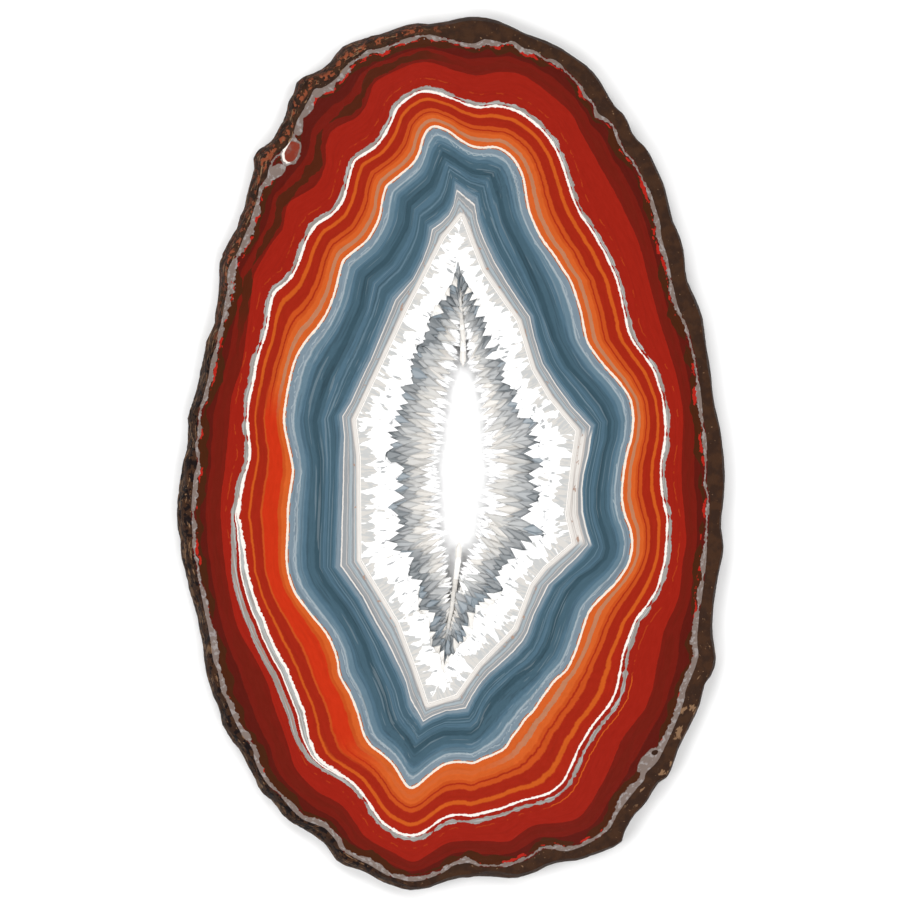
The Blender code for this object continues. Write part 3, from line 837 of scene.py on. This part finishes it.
white_reach = r.plus(r.times(swell, 0.3), r.scaled(teeth, 0.16, -0.07),
                     r.times(right_side, -0.025))
r.lay(r.near(from_white, 0.0, white_reach), "white")
sawtooth = r.times(r.rise(strand, 0.1, 0.3),
                   r.near(from_white, 0.08, r.scaled(teeth, 0.7, -0.22)))
r.lay(sawtooth, "white")
r.tell("white line")

# %% The cream line, its echo, and the pale hair in the blue
from_cream = r.plus(r.number("from_cream"), r.times(quick_wave, 0.12))
broken = r.noise(grain_at, 0.9, 2.0, stretch=(1, 1, 0.2))
r.lay(r.times(r.near(from_cream, 0.2, 0.09), r.rise(broken, 0.44, 0.5)), "ochre")
cream_reach = r.plus(r.times(swell, 0.12), r.scaled(teeth, 0.14, 0.02))
r.lay(r.near(from_cream, 0.0, cream_reach), "cream")
hair = r.near(from_cream, r.scaled(slow_wave, 1.2, 1.0), 0.07)
r.lay(r.times(hair, r.times(r.rise(broken, 0.4, 0.5), 0.7)), "haze")
r.tell("cream line")

# %% The shell line round the hollow
from_hollow = r.number("from_hollow")
warm_flecks = r.times(r.rise(r.noise(grain_at, 1.1, 3.0, stretch=(1, 1, 0.5)), 0.6, 0.66),
                      r.window(from_hollow, -0.95, -0.55, 0.04))
r.lay(warm_flecks, "salmon")
r.lay(r.rise(from_hollow, -0.54, -0.5), "sand")
r.lay(r.rise(from_hollow, -0.44, -0.4), "shell")
r.tell("shell line")

# %% [markdown]
# ## The stone's paint: next to the rind
# Just inside the rind runs a lumpy mauve line of weathered chalcedony, with bright red beads
# of iron beside it and dark brown arcs behind them. The rind itself is plain brown on the
# right. On the left it is cracked and shows copper and tan flakes, and a thin tan line along
# its edge there is painted highlight, where light from the left catches the rough side. Lumps
# like these could be small bumps, but the saw and the polish left them flush with the face, so
# they are colour alone, and slow noise along the bands gives them their uneven widths.

# %% Brown arcs, red beads and the mauve line
from_rind = r.plus(r.number("from_rind"), r.times(quick_wave, 0.4))
smooth_rind = r.plus(r.number("from_rind"), r.times(quick_wave, 0.1))
low_left = r.times(r.rise(across, 8.0, -4.0), r.rise(along, -12.0, -24.0))
lumps = r.noise(grain_at, 0.42, 3.0, 0.6, stretch=(1, 1, 0.1))
arc_depth = r.noise(grain_at, 0.3, 2.0, 0.45, stretch=(1, 1, 0.15))
bark_reach = r.scaled(arc_depth, 3.2, -1.15)
r.lay(r.near(smooth_rind, r.scaled(lumps, 0.9, 0.5), bark_reach), "bark")
second_arc = r.near(band, r.scaled(lumps, 0.3, 1.62), r.scaled(arc_depth, 0.45, -0.12))
upper_left = r.times(r.rise(across, 2.0, -6.0), r.rise(along, 12.0, 22.0))
r.lay(r.times(second_arc, r.scaled(upper_left, 0.75, 0.1)), "bark")
bead_noise = r.noise(grain_at, 0.9, 3.0, 0.6, stretch=(0.6, 0.6, 0.8))
fewer = r.scaled(low_left, -0.3, r.scaled(upper_left, 0.12, -1.34))
bead_reach = r.scaled(bead_noise, 2.6, fewer)
r.lay(r.near(from_rind, r.times(lumps, 1.4), bead_reach), "hot_red")
low_right = r.times(r.rise(across, 17.0, 24.0), r.window(along, -47.0, -23.0, 2.0))
wider = r.scaled(upper_left, 0.12, r.scaled(low_right, 0.35, -0.6))
wider = r.scaled(low_left, 0.16, wider)
pearls = r.plus(r.noise(place, 0.8, 2.0), -0.5)
wider = r.plus(wider, r.times(pearls, r.scaled(upper_left, 2.0, 0.6)))
mauve_reach = r.math("MAXIMUM", r.scaled(lumps, 1.7, wider), 0.1)
mauve_shade = r.mix(r.rise(r.noise(grain_at, 1.9, 4.0), 0.52, 0.6), "mauve", "pale_mauve")
r.lay(r.near(from_rind, 0.25, mauve_reach), mauve_shade)
r.tell("mauve line")

# %% Eyes and grey pockets on the mauve line
# Each pocket: the place of its middle, its half length and half width, and its lean. The
# first one holds a banded eye, and the low right one a small hole.
POCKETS = (((-21.8, 41.1), 2.0, 1.35, 66), ((-20.8, 44.6), 1.2, 0.65, 84),
           ((-24.1, 38.3), 1.7, 0.85, 32), ((-19.6, 46.9), 1.2, 0.65, 52),
           ((-17.5, 49.6), 1.4, 0.6, 38), ((26.9, -41.9), 2.1, 0.75, 50),
           ((29.4, -40.7), 1.6, 0.45, 84), ((2.8, 55.9), 1.7, 0.5, 0))
EYE = POCKETS[0]
IRIS = ((-21.65, 41.2), 1.55, 0.95, 66)
HOLE = ((27.9, -40.9), 0.5, 0.34, 20)
POCKET_EDGE = (1.03, 0.97)
pocket_wave = r.scaled(r.noise(place, 0.9, 2.0), 0.7, -0.35)


def pocket_distance(middle, half_length, half_width, lean):
    """0 in the middle of a pocket, 1 at its edge, and more outside it."""
    cos, sin = math.cos(math.radians(lean)), math.sin(math.radians(lean))
    x, y = np.array(middle) - DRAWING_MIDDLE
    east, north = r.plus(across, -float(x)), r.plus(along, -float(y))
    length = r.plus(r.times(east, cos / half_length), r.times(north, sin / half_length))
    width = r.plus(r.times(north, cos / half_width), r.times(east, -sin / half_width))
    round_distance = r.math("SQRT", r.plus(r.times(length, length), r.times(width, width)))
    return r.plus(round_distance, pocket_wave)


for pocket in POCKETS:
    distance = pocket_distance(*pocket)
    r.lay(r.rise(distance, *POCKET_EDGE), mauve_shade)
    if pocket is EYE:
        r.lay(r.times(r.rise(distance, 0.86, 0.82), r.rise(across, -21.9, -22.1)), "white")
        veil = r.times(r.rise(r.noise(place, 0.9, 3.0), 0.45, 0.7), 0.5)
        r.lay(r.rise(pocket_distance(*IRIS), 1.0, 0.94), r.mix(veil, "rust", "mauve"))
r.lay(r.rise(pocket_distance(*HOLE), *POCKET_EDGE), "rind_dark")
r.tell(f"{len(POCKETS)} pockets")

# %% The rind
outside = r.math("LESS_THAN", wavy_band, 1.0)
rough_side = r.rise(across, 2.0, -14.0)
flake_noise = r.noise(grain_at, 0.6, 4.0, 0.55, stretch=(1, 1, 0.75))
crack_noise = r.noise(place, 1.1, 3.0, 0.6)
flaky_side = r.math("MAXIMUM", rough_side, low_right)
rind = r.mix(r.rise(r.noise(place, 0.6, 4.0), 0.4, 0.6), "rind_dark", "rind")
cracked = r.times(rough_side, r.scaled(upper_left, -0.6, 1.0))
rind = r.mix(r.times(cracked, r.rise(crack_noise, 0.5, 0.55)), rind, "black")
on_face = r.rise(r.math("ABSOLUTE", r.plus(height, -THICKNESS / 2)), 2.8, 3.15)
face_share = r.scaled(on_face, 0.6, 0.4)
flake_spots = r.times(r.rise(r.noise(place, 1.3, 3.0, 0.6), 0.52, 0.56), r.rise(band, 0.7, 0.5))
rind = r.mix(r.times(upper_left, face_share, flake_spots), rind, "copper")
rind = r.mix(r.times(flaky_side, r.rise(flake_noise, 0.61, 0.63)), rind, "tan")
specks = r.rise(r.noise(place, 2.6, 2.0), 0.7, 0.73)
rind = r.mix(specks, rind, "tan")
# A thin tan line along the left edge of the face is painted highlight, where light from the left
# catches the rough side. The same tan runs on in patches down the side wall.
edge_wave = r.scaled(flake_noise, 2.4, -2.2)
edge_highlight_and_patches = r.times(r.rise(r.minus(band, edge_wave), 0.05, -0.05), r.rise(along, 26.0, 14.0))
side_patches = r.times(r.rise(r.noise(place, 0.7, 4.0, 0.6), 0.5, 0.6), 0.5)
edge_highlight_and_patches = r.times(edge_highlight_and_patches, r.math("MAXIMUM", on_face, side_patches))
rind = r.mix(r.times(rough_side, edge_highlight_and_patches), rind, "tan")
r.lay(outside, rind)
r.tell("rind")

# %% [markdown]
# ## The stone's surface
# The two faces are polished, with a soft shine, and the bands differ a little in hardness, so
# the shine changes slightly from band to band. The rind is dull and grainy. One value of
# shine for all would look like plastic, so it is read from the same noise as the streaks
# along the bands, which keep any band from being one flat colour.

# %% Streaks, shine and bump
POLISH_COAT = 0.35
SHARP_ANGLE = 50
streaks = r.noise(grain_at, 0.8, 5.0, 0.6, stretch=(1, 1, 4.0))
shade = r.add("ShaderNodeMapRange", {"Value": streaks, "From Min": 0.3, "From Max": 0.7,
                                     "To Min": 0.93, "To Max": 1.06})
shade = r.plus(shade, r.times(in_blue, -0.08))
tinted = r.add("ShaderNodeVectorMath", {0: r.colour, "Scale": shade}, operation="SCALE")
grains = r.noise(place, 2.2, 6.0, 0.65)
polish = r.scaled(streaks, 0.08, 0.07)
dull = r.scaled(grains, 0.3, 0.6)
roughness = r.scaled(outside, r.minus(dull, polish), polish)
relief = r.plus(r.times(outside, r.times(grains, 0.5)), r.times(streaks, 0.01))
bump = r.add("ShaderNodeBump", {"Height": relief, "Strength": 0.55, "Distance": 0.4 * MM})
coat = r.scaled(outside, -POLISH_COAT, POLISH_COAT)
r.dress({"Base Color": tinted, "Roughness": roughness, "Normal": bump, "Coat Weight": coat,
         "Coat Roughness": 0.05, "Specular IOR Level": 0.12})
stone.data.materials.append(r.material)
stone.data.shade_smooth()
stone.data.set_sharp_from_angle(angle=math.radians(SHARP_ANGLE))
r.tell("stone")

# %% [markdown]
# ## The quartz lining
# Two things line the hollow. The first is a solid rim of quartz against the stone, sawn
# flush with both faces, whose inner edge is ragged where the saw went through crystals. It
# could be cut from a plate, but as one more grid of rings and spokes it follows the edge of
# the hollow exactly. The second is the crystals that grow from it.

# %% The ragged inner edge
RAGGED_EDGE = {
    "top": ((1.0, 26.3), (0.7, 24.8), (0, 23), (-1.3, 21), (-2.2, 19.8), (-3.3, 17.5), (-3.6, 16),
            (-4.9, 14), (-5.7, 12.2), (-5.2, 10.5), (-6.8, 9), (-7, 7.5), (-8.5, 5.7),
            (-7.8, 4.5)),
    "left_waist": ((-9.5, 2.8), (-8.2, 1), (-9, -0.8), (-7, -2.5), (-8.7, -4), (-7.5, -5.5),
                   (-9.4, -7.3), (-7.2, -9), (-8.8, -11.5)),
    "left_hip": ((-9, -13), (-7, -14), (-5.5, -15.5), (-6, -17.5), (-4.5, -19), (-4.3, -21.5),
                 (-3, -22.5), (-2.8, -26), (-1.5, -27.5), (-1.3, -29.5)),
    "foot": ((-0.7, -30), (0, -28.3), (1, -26.5), (3, -24.7), (3.2, -22), (6.3, -20.2),
             (7.7, -17.8), (6.8, -16), (10, -13.8), (11.5, -12)),
    "right_bulge": ((13, -11.2), (11.5, -9), (12.5, -7.5), (11.8, -6.2), (12.8, -5),
                    (11.7, -3.7), (13.3, -1), (11.5, 0)),
    "right_waist": ((13, 2.5), (12, 4), (9.5, 6), (9.7, 8), (8, 9.5), (7.7, 12.5), (6.2, 13.5),
                    (7, 14.7), (5.5, 15.5), (6, 17.5), (4, 20.5), (3, 22), (1.5, 24.3)),
}
CLEAR_GAP = (
    (1.3, 23.5), (1.5, 16.0), (0.4, 11.0), (-0.8, 5.5), (-1.6, 0.0), (-1.6, -6.0),
    (-1.1, -11.0), (-0.2, -15.5), (0.2, -20.0), (-0.7, -27.0), (0.6, -20.0), (1.9, -15.0),
    (3.9, -10.0), (4.7, -5.0), (4.8, 0.0), (4.2, 5.0), (3.0, 10.5), (1.9, 16.0),
)
print("ragged edge:", sum(len(run) for run in RAGGED_EDGE.values()), "points")

# %% Spokes of the rim
RIM_PITCH = 0.17
WALL_GAP = 0.02
BLUNTEST = 0.45


def inset(points, distance):
    """A closed outline moved inwards, with its corners kept sharp."""
    along = np.roll(points, -1, axis=0) - points
    along /= np.linalg.norm(along, axis=1)[:, None]
    after = np.column_stack((-along[:, 1], along[:, 0]))
    before = np.roll(after, 1, axis=0)
    middle = after + before
    middle /= np.linalg.norm(middle, axis=1)[:, None]
    shrink = np.maximum((middle * after).sum(axis=1), BLUNTEST)
    return points + middle * distance / shrink[:, None]


def rim_lines():
    """The wall side and the ragged side of the rim, read at the same spokes."""
    wall, starts = curves[-1]
    wall = inset(wall, WALL_GAP)
    wall_starts = [starts[CORNERS.index(corner)] for corner in RAGGED_EDGE]
    ragged = np.array([p for run in RAGGED_EDGE.values() for p in run]) - DRAWING_MIDDLE
    counts = [len(run) for run in RAGGED_EDGE.values()]
    ragged_starts = [sum(counts[:i]) for i in range(len(counts))]
    outer, inner = [], []
    for i in range(len(counts)):
        k = (i + 1) % len(counts)
        wall_run = run_between(wall, wall_starts[i], wall_starts[k])
        count = round(length_of(wall_run) / RIM_PITCH)
        outer.append(evenly(wall_run, count))
        inner.append(evenly(run_between(ragged, ragged_starts[i], ragged_starts[k]), count))
    return np.concatenate(outer), np.concatenate(inner)


wall_side, ragged_side = rim_lines()
print("spokes of the rim:", len(wall_side))

# %% Where each spoke of the rim heads
TOOTH = 0.35
TEETH_PER_MM = 1.9
FULL_TOOTH_DEPTH = 3
CORNER_SPAN = 5
AIM_DEPTH = 4.5
gap_line = np.array(CLEAR_GAP) - DRAWING_MIDDLE


def headings(places):
    """For each place, the nearest point of the clear gap."""
    closed = np.vstack((gap_line, gap_line[:1]))
    dense = evenly(closed, int(length_of(closed) / READING_PITCH))
    return np.array([dense[((dense - place) ** 2).sum(axis=1).argmin()] for place in places])


walk = np.arange(len(wall_side)) * RIM_PITCH
teeth = np.array([noise.noise(Vector((w * TEETH_PER_MM, 0.3, 0.0))) for w in walk])
rim_depth = np.linalg.norm(ragged_side - wall_side, axis=1)
toothed = TOOTH * teeth * np.minimum(rim_depth / FULL_TOOTH_DEPTH, 1) / rim_depth
edge_side = ragged_side + (ragged_side - wall_side) * toothed[:, None]
gap_side = headings(edge_side)
wall_way = np.roll(wall_side, -CORNER_SPAN, axis=0) - np.roll(wall_side, CORNER_SPAN, axis=0)
wall_way /= np.linalg.norm(wall_way, axis=1)[:, None]
wall_inward = np.column_stack((-wall_way[:, 1], wall_way[:, 0]))
crystal_goals = headings(edge_side + wall_inward * AIM_DEPTH)
longest_way = np.linalg.norm(gap_side - edge_side, axis=1).max()
print("from the edge to the gap:", round(float(longest_way), 1), "mm at most")

# %% The rim's cross-section
# Each step of the slope: its depth below the face, and its share of the way to the gap.
FLUSH_RINGS = 7
SAWN = -1.0
SLOPE = ((0.25, 0.0), (0.75, 0.04), (1.3, 0.13), (1.9, 0.26), (2.5, 0.4),
         (THICKNESS / 2, 0.54))


def rim_grid():
    """Rings of the rim: across the upper face, down a slope towards the gap, and back."""
    top = [at_height(wall_side + (edge_side - wall_side) * k / FLUSH_RINGS, THICKNESS)
           for k in range(FLUSH_RINGS + 1)]
    side = [at_height(edge_side + (gap_side - edge_side) * share, THICKNESS - drop)
            for drop, share in SLOPE]
    upper = top + side
    lower = [ring * (1, 1, -1) + (0, 0, THICKNESS) for ring in upper[::-1]][1:]
    return np.array(upper + lower)


def rim_tones():
    """For each ring of faces, its tone: SAWN on the two faces, and dark next to the faces, smoky grey
    with painted shade under them, to milky further in.
    """
    shares = [share for drop, share in SLOPE]
    down = [0.0] + [(a + b) / 2 for a, b in zip(shares, shares[1:])]
    return [SAWN] * FLUSH_RINGS + down + down[::-1] + [SAWN] * (FLUSH_RINGS + 1)


rim = mesh_from_grid("quartz_lining", rim_grid())
print("rim:", len(rim.data.polygons), "faces")

# %% [markdown]
# ## The crystals
# Each crystal is a flat six-sided prism that tapers to a long sharp point. They grow from the
# rim in tiers at several depths: the tiers near the faces are short and the ones at mid depth
# are long, so that from above each tier's points show past the tier over it. The shallow
# tiers are painted smoky grey and the deep ones milky white: partly the quartz's own colour,
# partly painted shade under the rim, darkest next to it. Each crystal is closed and
# has its foot inside the rim or a neighbour, and all of them are one mesh with the rim. A
# Boolean union would look the same and cost ten times as many faces.

# %% One crystal
SIDES = 6
FLATNESS = 0.26
FOOT_SHARE = 0.85
SHOULDER_SHARE = 0.55
SAWN_SKIN = 0.02


def crystal(root, tip, radius, turn, numbers, crust):
    """Adds a flat tapering prism with a long point, closed all round, with its numbers."""
    axis = (tip - root).normalized()
    side = axis.cross(Vector((0, 0, 1))).normalized()
    rise = side.cross(axis) * FLATNESS
    shoulder = root.lerp(tip, SHOULDER_SHARE)
    corners = []
    for centre, grow in ((root, FOOT_SHARE), (shoulder, 1.0)):
        for k in range(SIDES):
            angle = turn + math.tau * k / SIDES
            corner = centre + (side * math.cos(angle) + rise * math.sin(angle)) * radius * grow
            corner.z = min(max(corner.z, SAWN_SKIN), THICKNESS - SAWN_SKIN)
            corners.append(corner)
    corners.append(tip)
    faces = [tuple(reversed(range(SIDES)))]
    for k in range(SIDES):
        j = (k + 1) % SIDES
        faces += [(k, j, SIDES + j, SIDES + k), (SIDES + k, SIDES + j, 2 * SIDES)]
    first = len(crust["corners"])
    crust["corners"] += corners
    crust["faces"] += [[first + k for k in face] for face in faces]
    for name, value in numbers.items():
        crust[name] += [value] * len(faces)


print("faces of a crystal:", 1 + 2 * SIDES)

# %% Tiers of crystals
# Each tier of the upper half: its depth below the face, the shares of the way from the edge
# to the gap where its crystals start and end, its pitch, and its tone.
TIERS = ((0.3, -0.15, 0.03, 1.15, 1.3), (0.75, -0.12, 0.2, 1.05, 0.0),
         (1.1, -0.05, 0.4, 1.05, 0.16), (1.5, 0.02, 0.64, 1.1, 0.36),
         (1.9, 0.1, 0.9, 1.0, 0.56), (2.3, 0.26, 0.94, 1.1, 1.15),
         (2.75, 0.36, 0.98, 1.0, 1.2), (3.25, 0.45, 1.0, 0.9, 1.2))
CRYSTAL_SEED = 11
CRYSTAL_RADIUS = 0.8
RADIUS_CHANGE = (0.65, 1.2)
SMALLEST = 0.45
FULL_SIZE_WAY = 4.0
FOOT_INSET = 0.5
REACH_CHANGE = (0.82, 1.1)
EXTRA_LENGTH = 1.7
TO_THE_MIDDLE = 0.25
LEAN = 0.3
UNEVEN = 0.12
EDGE_TONE = 1.25
SHORTEST_WAY = 2.0


def grow_tier(rng, crust, height, begin, reach, pitch, tone):
    """One tier of crystals all the way round, from the edge towards the gap."""
    count = round(len(edge_side) * RIM_PITCH / pitch)
    shift = rng.random()
    for i in range(count):
        k = int((i + shift + rng.uniform(-LEAN, LEAN)) * len(edge_side) / count) % len(edge_side)
        foot, tangent = edge_side[k], wall_way[k]
        way = crystal_goals[k] - foot
        length = np.linalg.norm(way)
        if tone > EDGE_TONE and length < SHORTEST_WAY:
            continue
        heading = way / length
        root = foot + way * begin - heading * FOOT_INSET
        extra = EXTRA_LENGTH * rng.random() * (1 - min(reach, 1))
        end = foot + way * reach * rng.uniform(*REACH_CHANGE) + heading * extra
        end = end + tangent * rng.uniform(-LEAN, LEAN)
        root_height = height + rng.uniform(-UNEVEN, UNEVEN)
        end_height = root_height + (THICKNESS / 2 - height) * TO_THE_MIDDLE * reach
        room = min(max(length / FULL_SIZE_WAY, SMALLEST), 1)
        size = CRYSTAL_RADIUS * rng.uniform(*RADIUS_CHANGE) * room
        crystal(Vector((*root, root_height)), Vector((*end, end_height)), size,
                rng.uniform(-LEAN, LEAN), {"tone": tone, "chance": rng.random()}, crust)


crystals = {"corners": [], "faces": [], "tone": [], "chance": []}
crystal_rng = random.Random(CRYSTAL_SEED)
for drop, *tier in TIERS:
    grow_tier(crystal_rng, crystals, THICKNESS - drop, *tier)
    if drop < THICKNESS / 2:
        grow_tier(crystal_rng, crystals, drop, *tier)
print("crystal faces in tiers:", len(crystals["faces"]))

# %% The pale vein at both ends
# Where the gap is only a slit, crystals lie along it one behind the other, like a quill.
VEINS = (((1.2, 23.5), (1.35, 20.0), (1.7, 16.0), (1.7, 12.4)),
         ((-0.6, -25.5), (0.35, -20.0), (0.8, -16.5), (1.2, -12.8)))
VEIN_PITCH = 0.75
VEIN_DEPTH = 2.1
VEIN_TONE = 0.86
VEIN_LENGTHS = (1.6, 2.4)
VEIN_SHIFT = 0.15
VEIN_DROP = 0.2
THINNEST_VEIN = 0.18
VEIN_SWELL = 0.3
for vein in VEINS:
    line = np.array(vein) - DRAWING_MIDDLE
    places = evenly(line, round(length_of(line) / VEIN_PITCH))
    for i, (start, after) in enumerate(zip(places[:-1], places[1:])):
        heading = (after - start) / np.linalg.norm(after - start)
        tip = start + heading * crystal_rng.uniform(*VEIN_LENGTHS)
        tip = tip + crystal_rng.uniform(-VEIN_SHIFT, VEIN_SHIFT)
        size = THINNEST_VEIN + VEIN_SWELL * i / len(places)
        for level in (THICKNESS - VEIN_DEPTH, VEIN_DEPTH):
            root_height = level + crystal_rng.uniform(-VEIN_DROP, VEIN_DROP)
            numbers = {"tone": VEIN_TONE, "chance": crystal_rng.random()}
            root_end, tip_end = Vector((*start, root_height)), Vector((*tip, root_height - VEIN_DROP))
            crystal(root_end, tip_end, size, crystal_rng.uniform(-LEAN, LEAN), numbers, crystals)
print("crystal faces in all:", len(crystals["faces"]))


# %% Grow them together
def grow_together(base, crust):
    """The rim and all its crystals as one mesh, with the numbers of their faces."""
    rim_corners = [v.co for v in base.data.vertices]
    rim_faces = [tuple(p.vertices) for p in base.data.polygons]
    shift = len(rim_corners)
    grown = bpy.data.meshes.new("quartz_lining")
    grown.from_pydata(rim_corners + [corner * MM for corner in crust["corners"]], [],
                      rim_faces + [[shift + k for k in face] for face in crust["faces"]])
    for name, ring_values in (("tone", rim_tones()), ("chance", [0.5] * len(rim_tones()))):
        values = np.concatenate((np.repeat(ring_values, len(wall_side)), crust[name]))
        grown.attributes.new(name, "FLOAT", "FACE").data.foreach_set("value", values)
    base.data = grown
    return base


lining = grow_together(rim, crystals)
lining.data.calc_loop_triangles()
print("lining:", len(lining.data.loop_triangles), "triangles")

# %% [markdown]
# ## The quartz's paint
# Against the stone the quartz is a comb of fine beige and white needles, then bright white
# up to its ragged edge, with grey flecks of painted shade between the white crystals. The
# crystals are smoky grey at the foot, then beige, and milky white at the tips, and the grey
# near the rim is partly painted shade. Crystals of several tiers lie over each other at the
# same place, so their colour can't be read from the place, and each face carries its tier's
# tone instead. Quartz lets light through, so the surface has some transmission with quartz's
# own refractive index.

# %% Numbers on the quartz
lining_places = np.array([v.co for v in lining.data.vertices]) / MM
wall_distance, around = distance_to(wall_side, lining_places[:, :2])
edge_distance = distance_to(ragged_side, lining_places[:, :2])[0]
gap_distance = distance_to(gap_line, lining_places[:, :2])[0]
write_number(lining, "inward", wall_distance)
write_number(lining, "reach", edge_distance / (edge_distance + gap_distance + 0.01))
write_number(lining, "around", around)
print("numbers on the quartz:", [a.name for a in lining.data.attributes if a.name[0] != "."])

# %% The sawn rim's colour
# The quartz's colours are lifted brighter than the stone's, as painted light that makes up for the
# shade deep in the hollow.
QUARTZ_LIFT = 1.42
q = Recipe("quartz", lift=QUARTZ_LIFT)
tone = q.number("tone")
chance = q.number("chance")
reach = q.number("reach")
inward = q.number("inward")
comb_place = q.add("ShaderNodeCombineXYZ", {"X": q.number("around"), "Y": inward, "Z": 0.0})
comb = q.noise(comb_place, 3.0, 3.0, 0.6, stretch=(1, 0.15, 1))
tongues = q.noise(comb_place, 1.15, 1.6, 0.5, stretch=(1, 0.36, 1))
shadows = q.noise(comb_place, 1.7, 2.0, 0.5, stretch=(1, 0.3, 1))
north = q.where()[2]
tongue_start = q.rise(q.plus(inward, q.times(q.rise(north, 2.0, 18.0), 0.8)), 0.2, 3.0)
q.colour = q.mix(q.rise(comb, 0.42, 0.56), "flint", "linen")
# The flint patches and the ash flecks below, both from the shadows noise, are painted shade between
# the white crystals of the sawn rim.
q.lay(q.rise(shadows, 0.56, 0.62), "flint")
white_over = q.plus(tongues, q.scaled(tongue_start, 0.26, -0.6))
q.lay(q.rise(white_over, -0.012, 0.012), "snow")
q.lay(q.times(q.rise(shadows, 0.63, 0.65), q.rise(inward, 1.4, 2.6)), "ash")
q.lay(q.rise(inward, 0.16, 0.1), "shell")
q.tell("sawn rim")

# %% The crystals' colour
to_ends = q.rise(q.math("ABSOLUTE", north), 13.0, 24.0)
# The tone is painted darker for the shallow tiers and next to the rim, partly as smoky quartz and
# partly as painted shade under the rim. The deepest tiers are painted pure white, so that they stay
# white in the hollow's shade.
depth_tone = q.plus(q.times(tone, 0.85), q.scaled(chance, 0.24, -0.12))
depth_tone = q.plus(depth_tone, q.plus(q.times(reach, 0.1), q.times(to_ends, -0.42)))
depth_tone = q.plus(depth_tone, q.times(q.rise(north, 23.2, 24.6), -0.6))
point_colour = q.ramp(depth_tone, ((0.0, "iron_grey"), (0.08, "smoke"), (0.2, "ash"),
                                   (0.36, "flint"), (0.52, "linen"), (0.7, "bone"),
                                   (0.84, "milk"), (0.95, "snow")))
blue_shade = q.times(q.rise(chance, 0.7, 0.75), q.rise(depth_tone, 0.3, 0.1))
point_colour = q.mix(q.times(blue_shade, 0.5), point_colour, "slate")
q.lay(q.math("GREATER_THAN", tone, SAWN / 2), point_colour)
q.tell("crystals")

# %% Quartz surface
QUARTZ_IOR = 1.54
QUARTZ_CLEARNESS = 0.25
on_rim = q.math("LESS_THAN", tone, SAWN / 2)
ripple = q.add("ShaderNodeBump", {"Height": q.times(comb, q.times(on_rim, 0.2)), "Strength": 0.25,
                                  "Distance": 0.3 * MM})
q.dress({"Base Color": q.colour, "Roughness": 0.38, "IOR": QUARTZ_IOR,
         "Transmission Weight": QUARTZ_CLEARNESS, "Normal": ripple})
lining.data.materials.append(q.material)
q.tell("quartz")

# %% [markdown]
# ## Take the plain solids' places
# Each dressed piece stands for one plain solid and rides with the slab. Nothing on a stone
# moves, so there is one body.

# %% Place the pieces
for piece, node, slot in ((stone, "agate_slice", "banded_agate"),
                          (lining, "quartz_crust", "quartz")):
    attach(piece, "root")
    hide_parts(node)
print("pieces:", stone.name, lining.name)

# %% [markdown]
# ## Studio
# The slice lies on pale paper, seen from straight above through a long lens. Four soft boxes
# stand round the camera, close enough to overhead that light reaches the floor of the
# hollow, but not in the mirror direction of the polished face, which would fog the colours.

# %% Paper floor
HALF_FLOOR = 1.2
PAPER_WHITE = 0.86
floor_corners = [(x * HALF_FLOOR, y * HALF_FLOOR, 0) for x, y in ((-1, -1), (1, -1), (1, 1), (-1, 1))]
floor_mesh = bpy.data.meshes.new("paper_floor")
floor_mesh.from_pydata(floor_corners, [], [(0, 1, 2, 3)])
floor = bpy.data.objects.new("paper_floor", floor_mesh)
floor.location.z = -0.02 * MM
bpy.context.scene.collection.objects.link(floor)
paper = Recipe("paper")
paper.dress({"Base Color": (PAPER_WHITE, PAPER_WHITE, PAPER_WHITE, 1.0), "Roughness": 0.9,
             "Specular IOR Level": 0.1})
floor_mesh.materials.append(paper.material)
print("floor:", 2 * HALF_FLOOR, "m wide")

# %% Soft boxes and a pale sky
# Each soft box: its turn round the slice in degrees, and its share of the power.
BOX_DISTANCE = 0.75
BOX_TILT = math.radians(22)
BOX_SIZE = 0.32
BOX_POWER = 2.2
BOX_SHARES = ((200, 1.2), (110, 1.0), (20, 0.9), (290, 0.9))
SKY_WHITE = 0.93
SKY_STRENGTH = 0.17
for turn, share in BOX_SHARES:
    light = bpy.data.lights.new("soft_box", "AREA")
    light.shape = "DISK"
    light.size = BOX_SIZE
    light.energy = BOX_POWER * share
    box = bpy.data.objects.new("soft_box", light)
    angle = math.radians(turn)
    direction = Vector((math.cos(angle) * math.sin(BOX_TILT),
                        math.sin(angle) * math.sin(BOX_TILT), math.cos(BOX_TILT)))
    box.location = direction * BOX_DISTANCE
    box.rotation_euler = direction.to_track_quat("Z", "Y").to_euler()
    bpy.context.scene.collection.objects.link(box)

sky = bpy.data.worlds.new("studio")
sky.use_nodes = True
background = sky.node_tree.nodes["Background"].inputs
background["Color"].default_value = (SKY_WHITE, SKY_WHITE, SKY_WHITE, 1.0)
background["Strength"].default_value = SKY_STRENGTH
bpy.context.scene.world = sky
bpy.context.scene.view_settings.view_transform = "Standard"
print("soft boxes:", len(BOX_SHARES), "of", BOX_SIZE, "m")

# %% Camera
LENS = 300.0
SENSOR = 36.0
VIEW_WIDTH = 123.1 * MM
VIEW_MIDDLE = Vector((-0.13, 0.48, 5.0)) * MM
camera_data = bpy.data.cameras.new("camera")
camera_data.lens = LENS
camera_data.sensor_width = SENSOR
camera_data.clip_start = 0.01
camera = bpy.data.objects.new("camera", camera_data)
camera.location = VIEW_MIDDLE + Vector((0, 0, VIEW_WIDTH * LENS / SENSOR))
bpy.context.scene.collection.objects.link(camera)
bpy.context.scene.camera = camera
print("camera height:", round(camera.location.z, 3), "m")
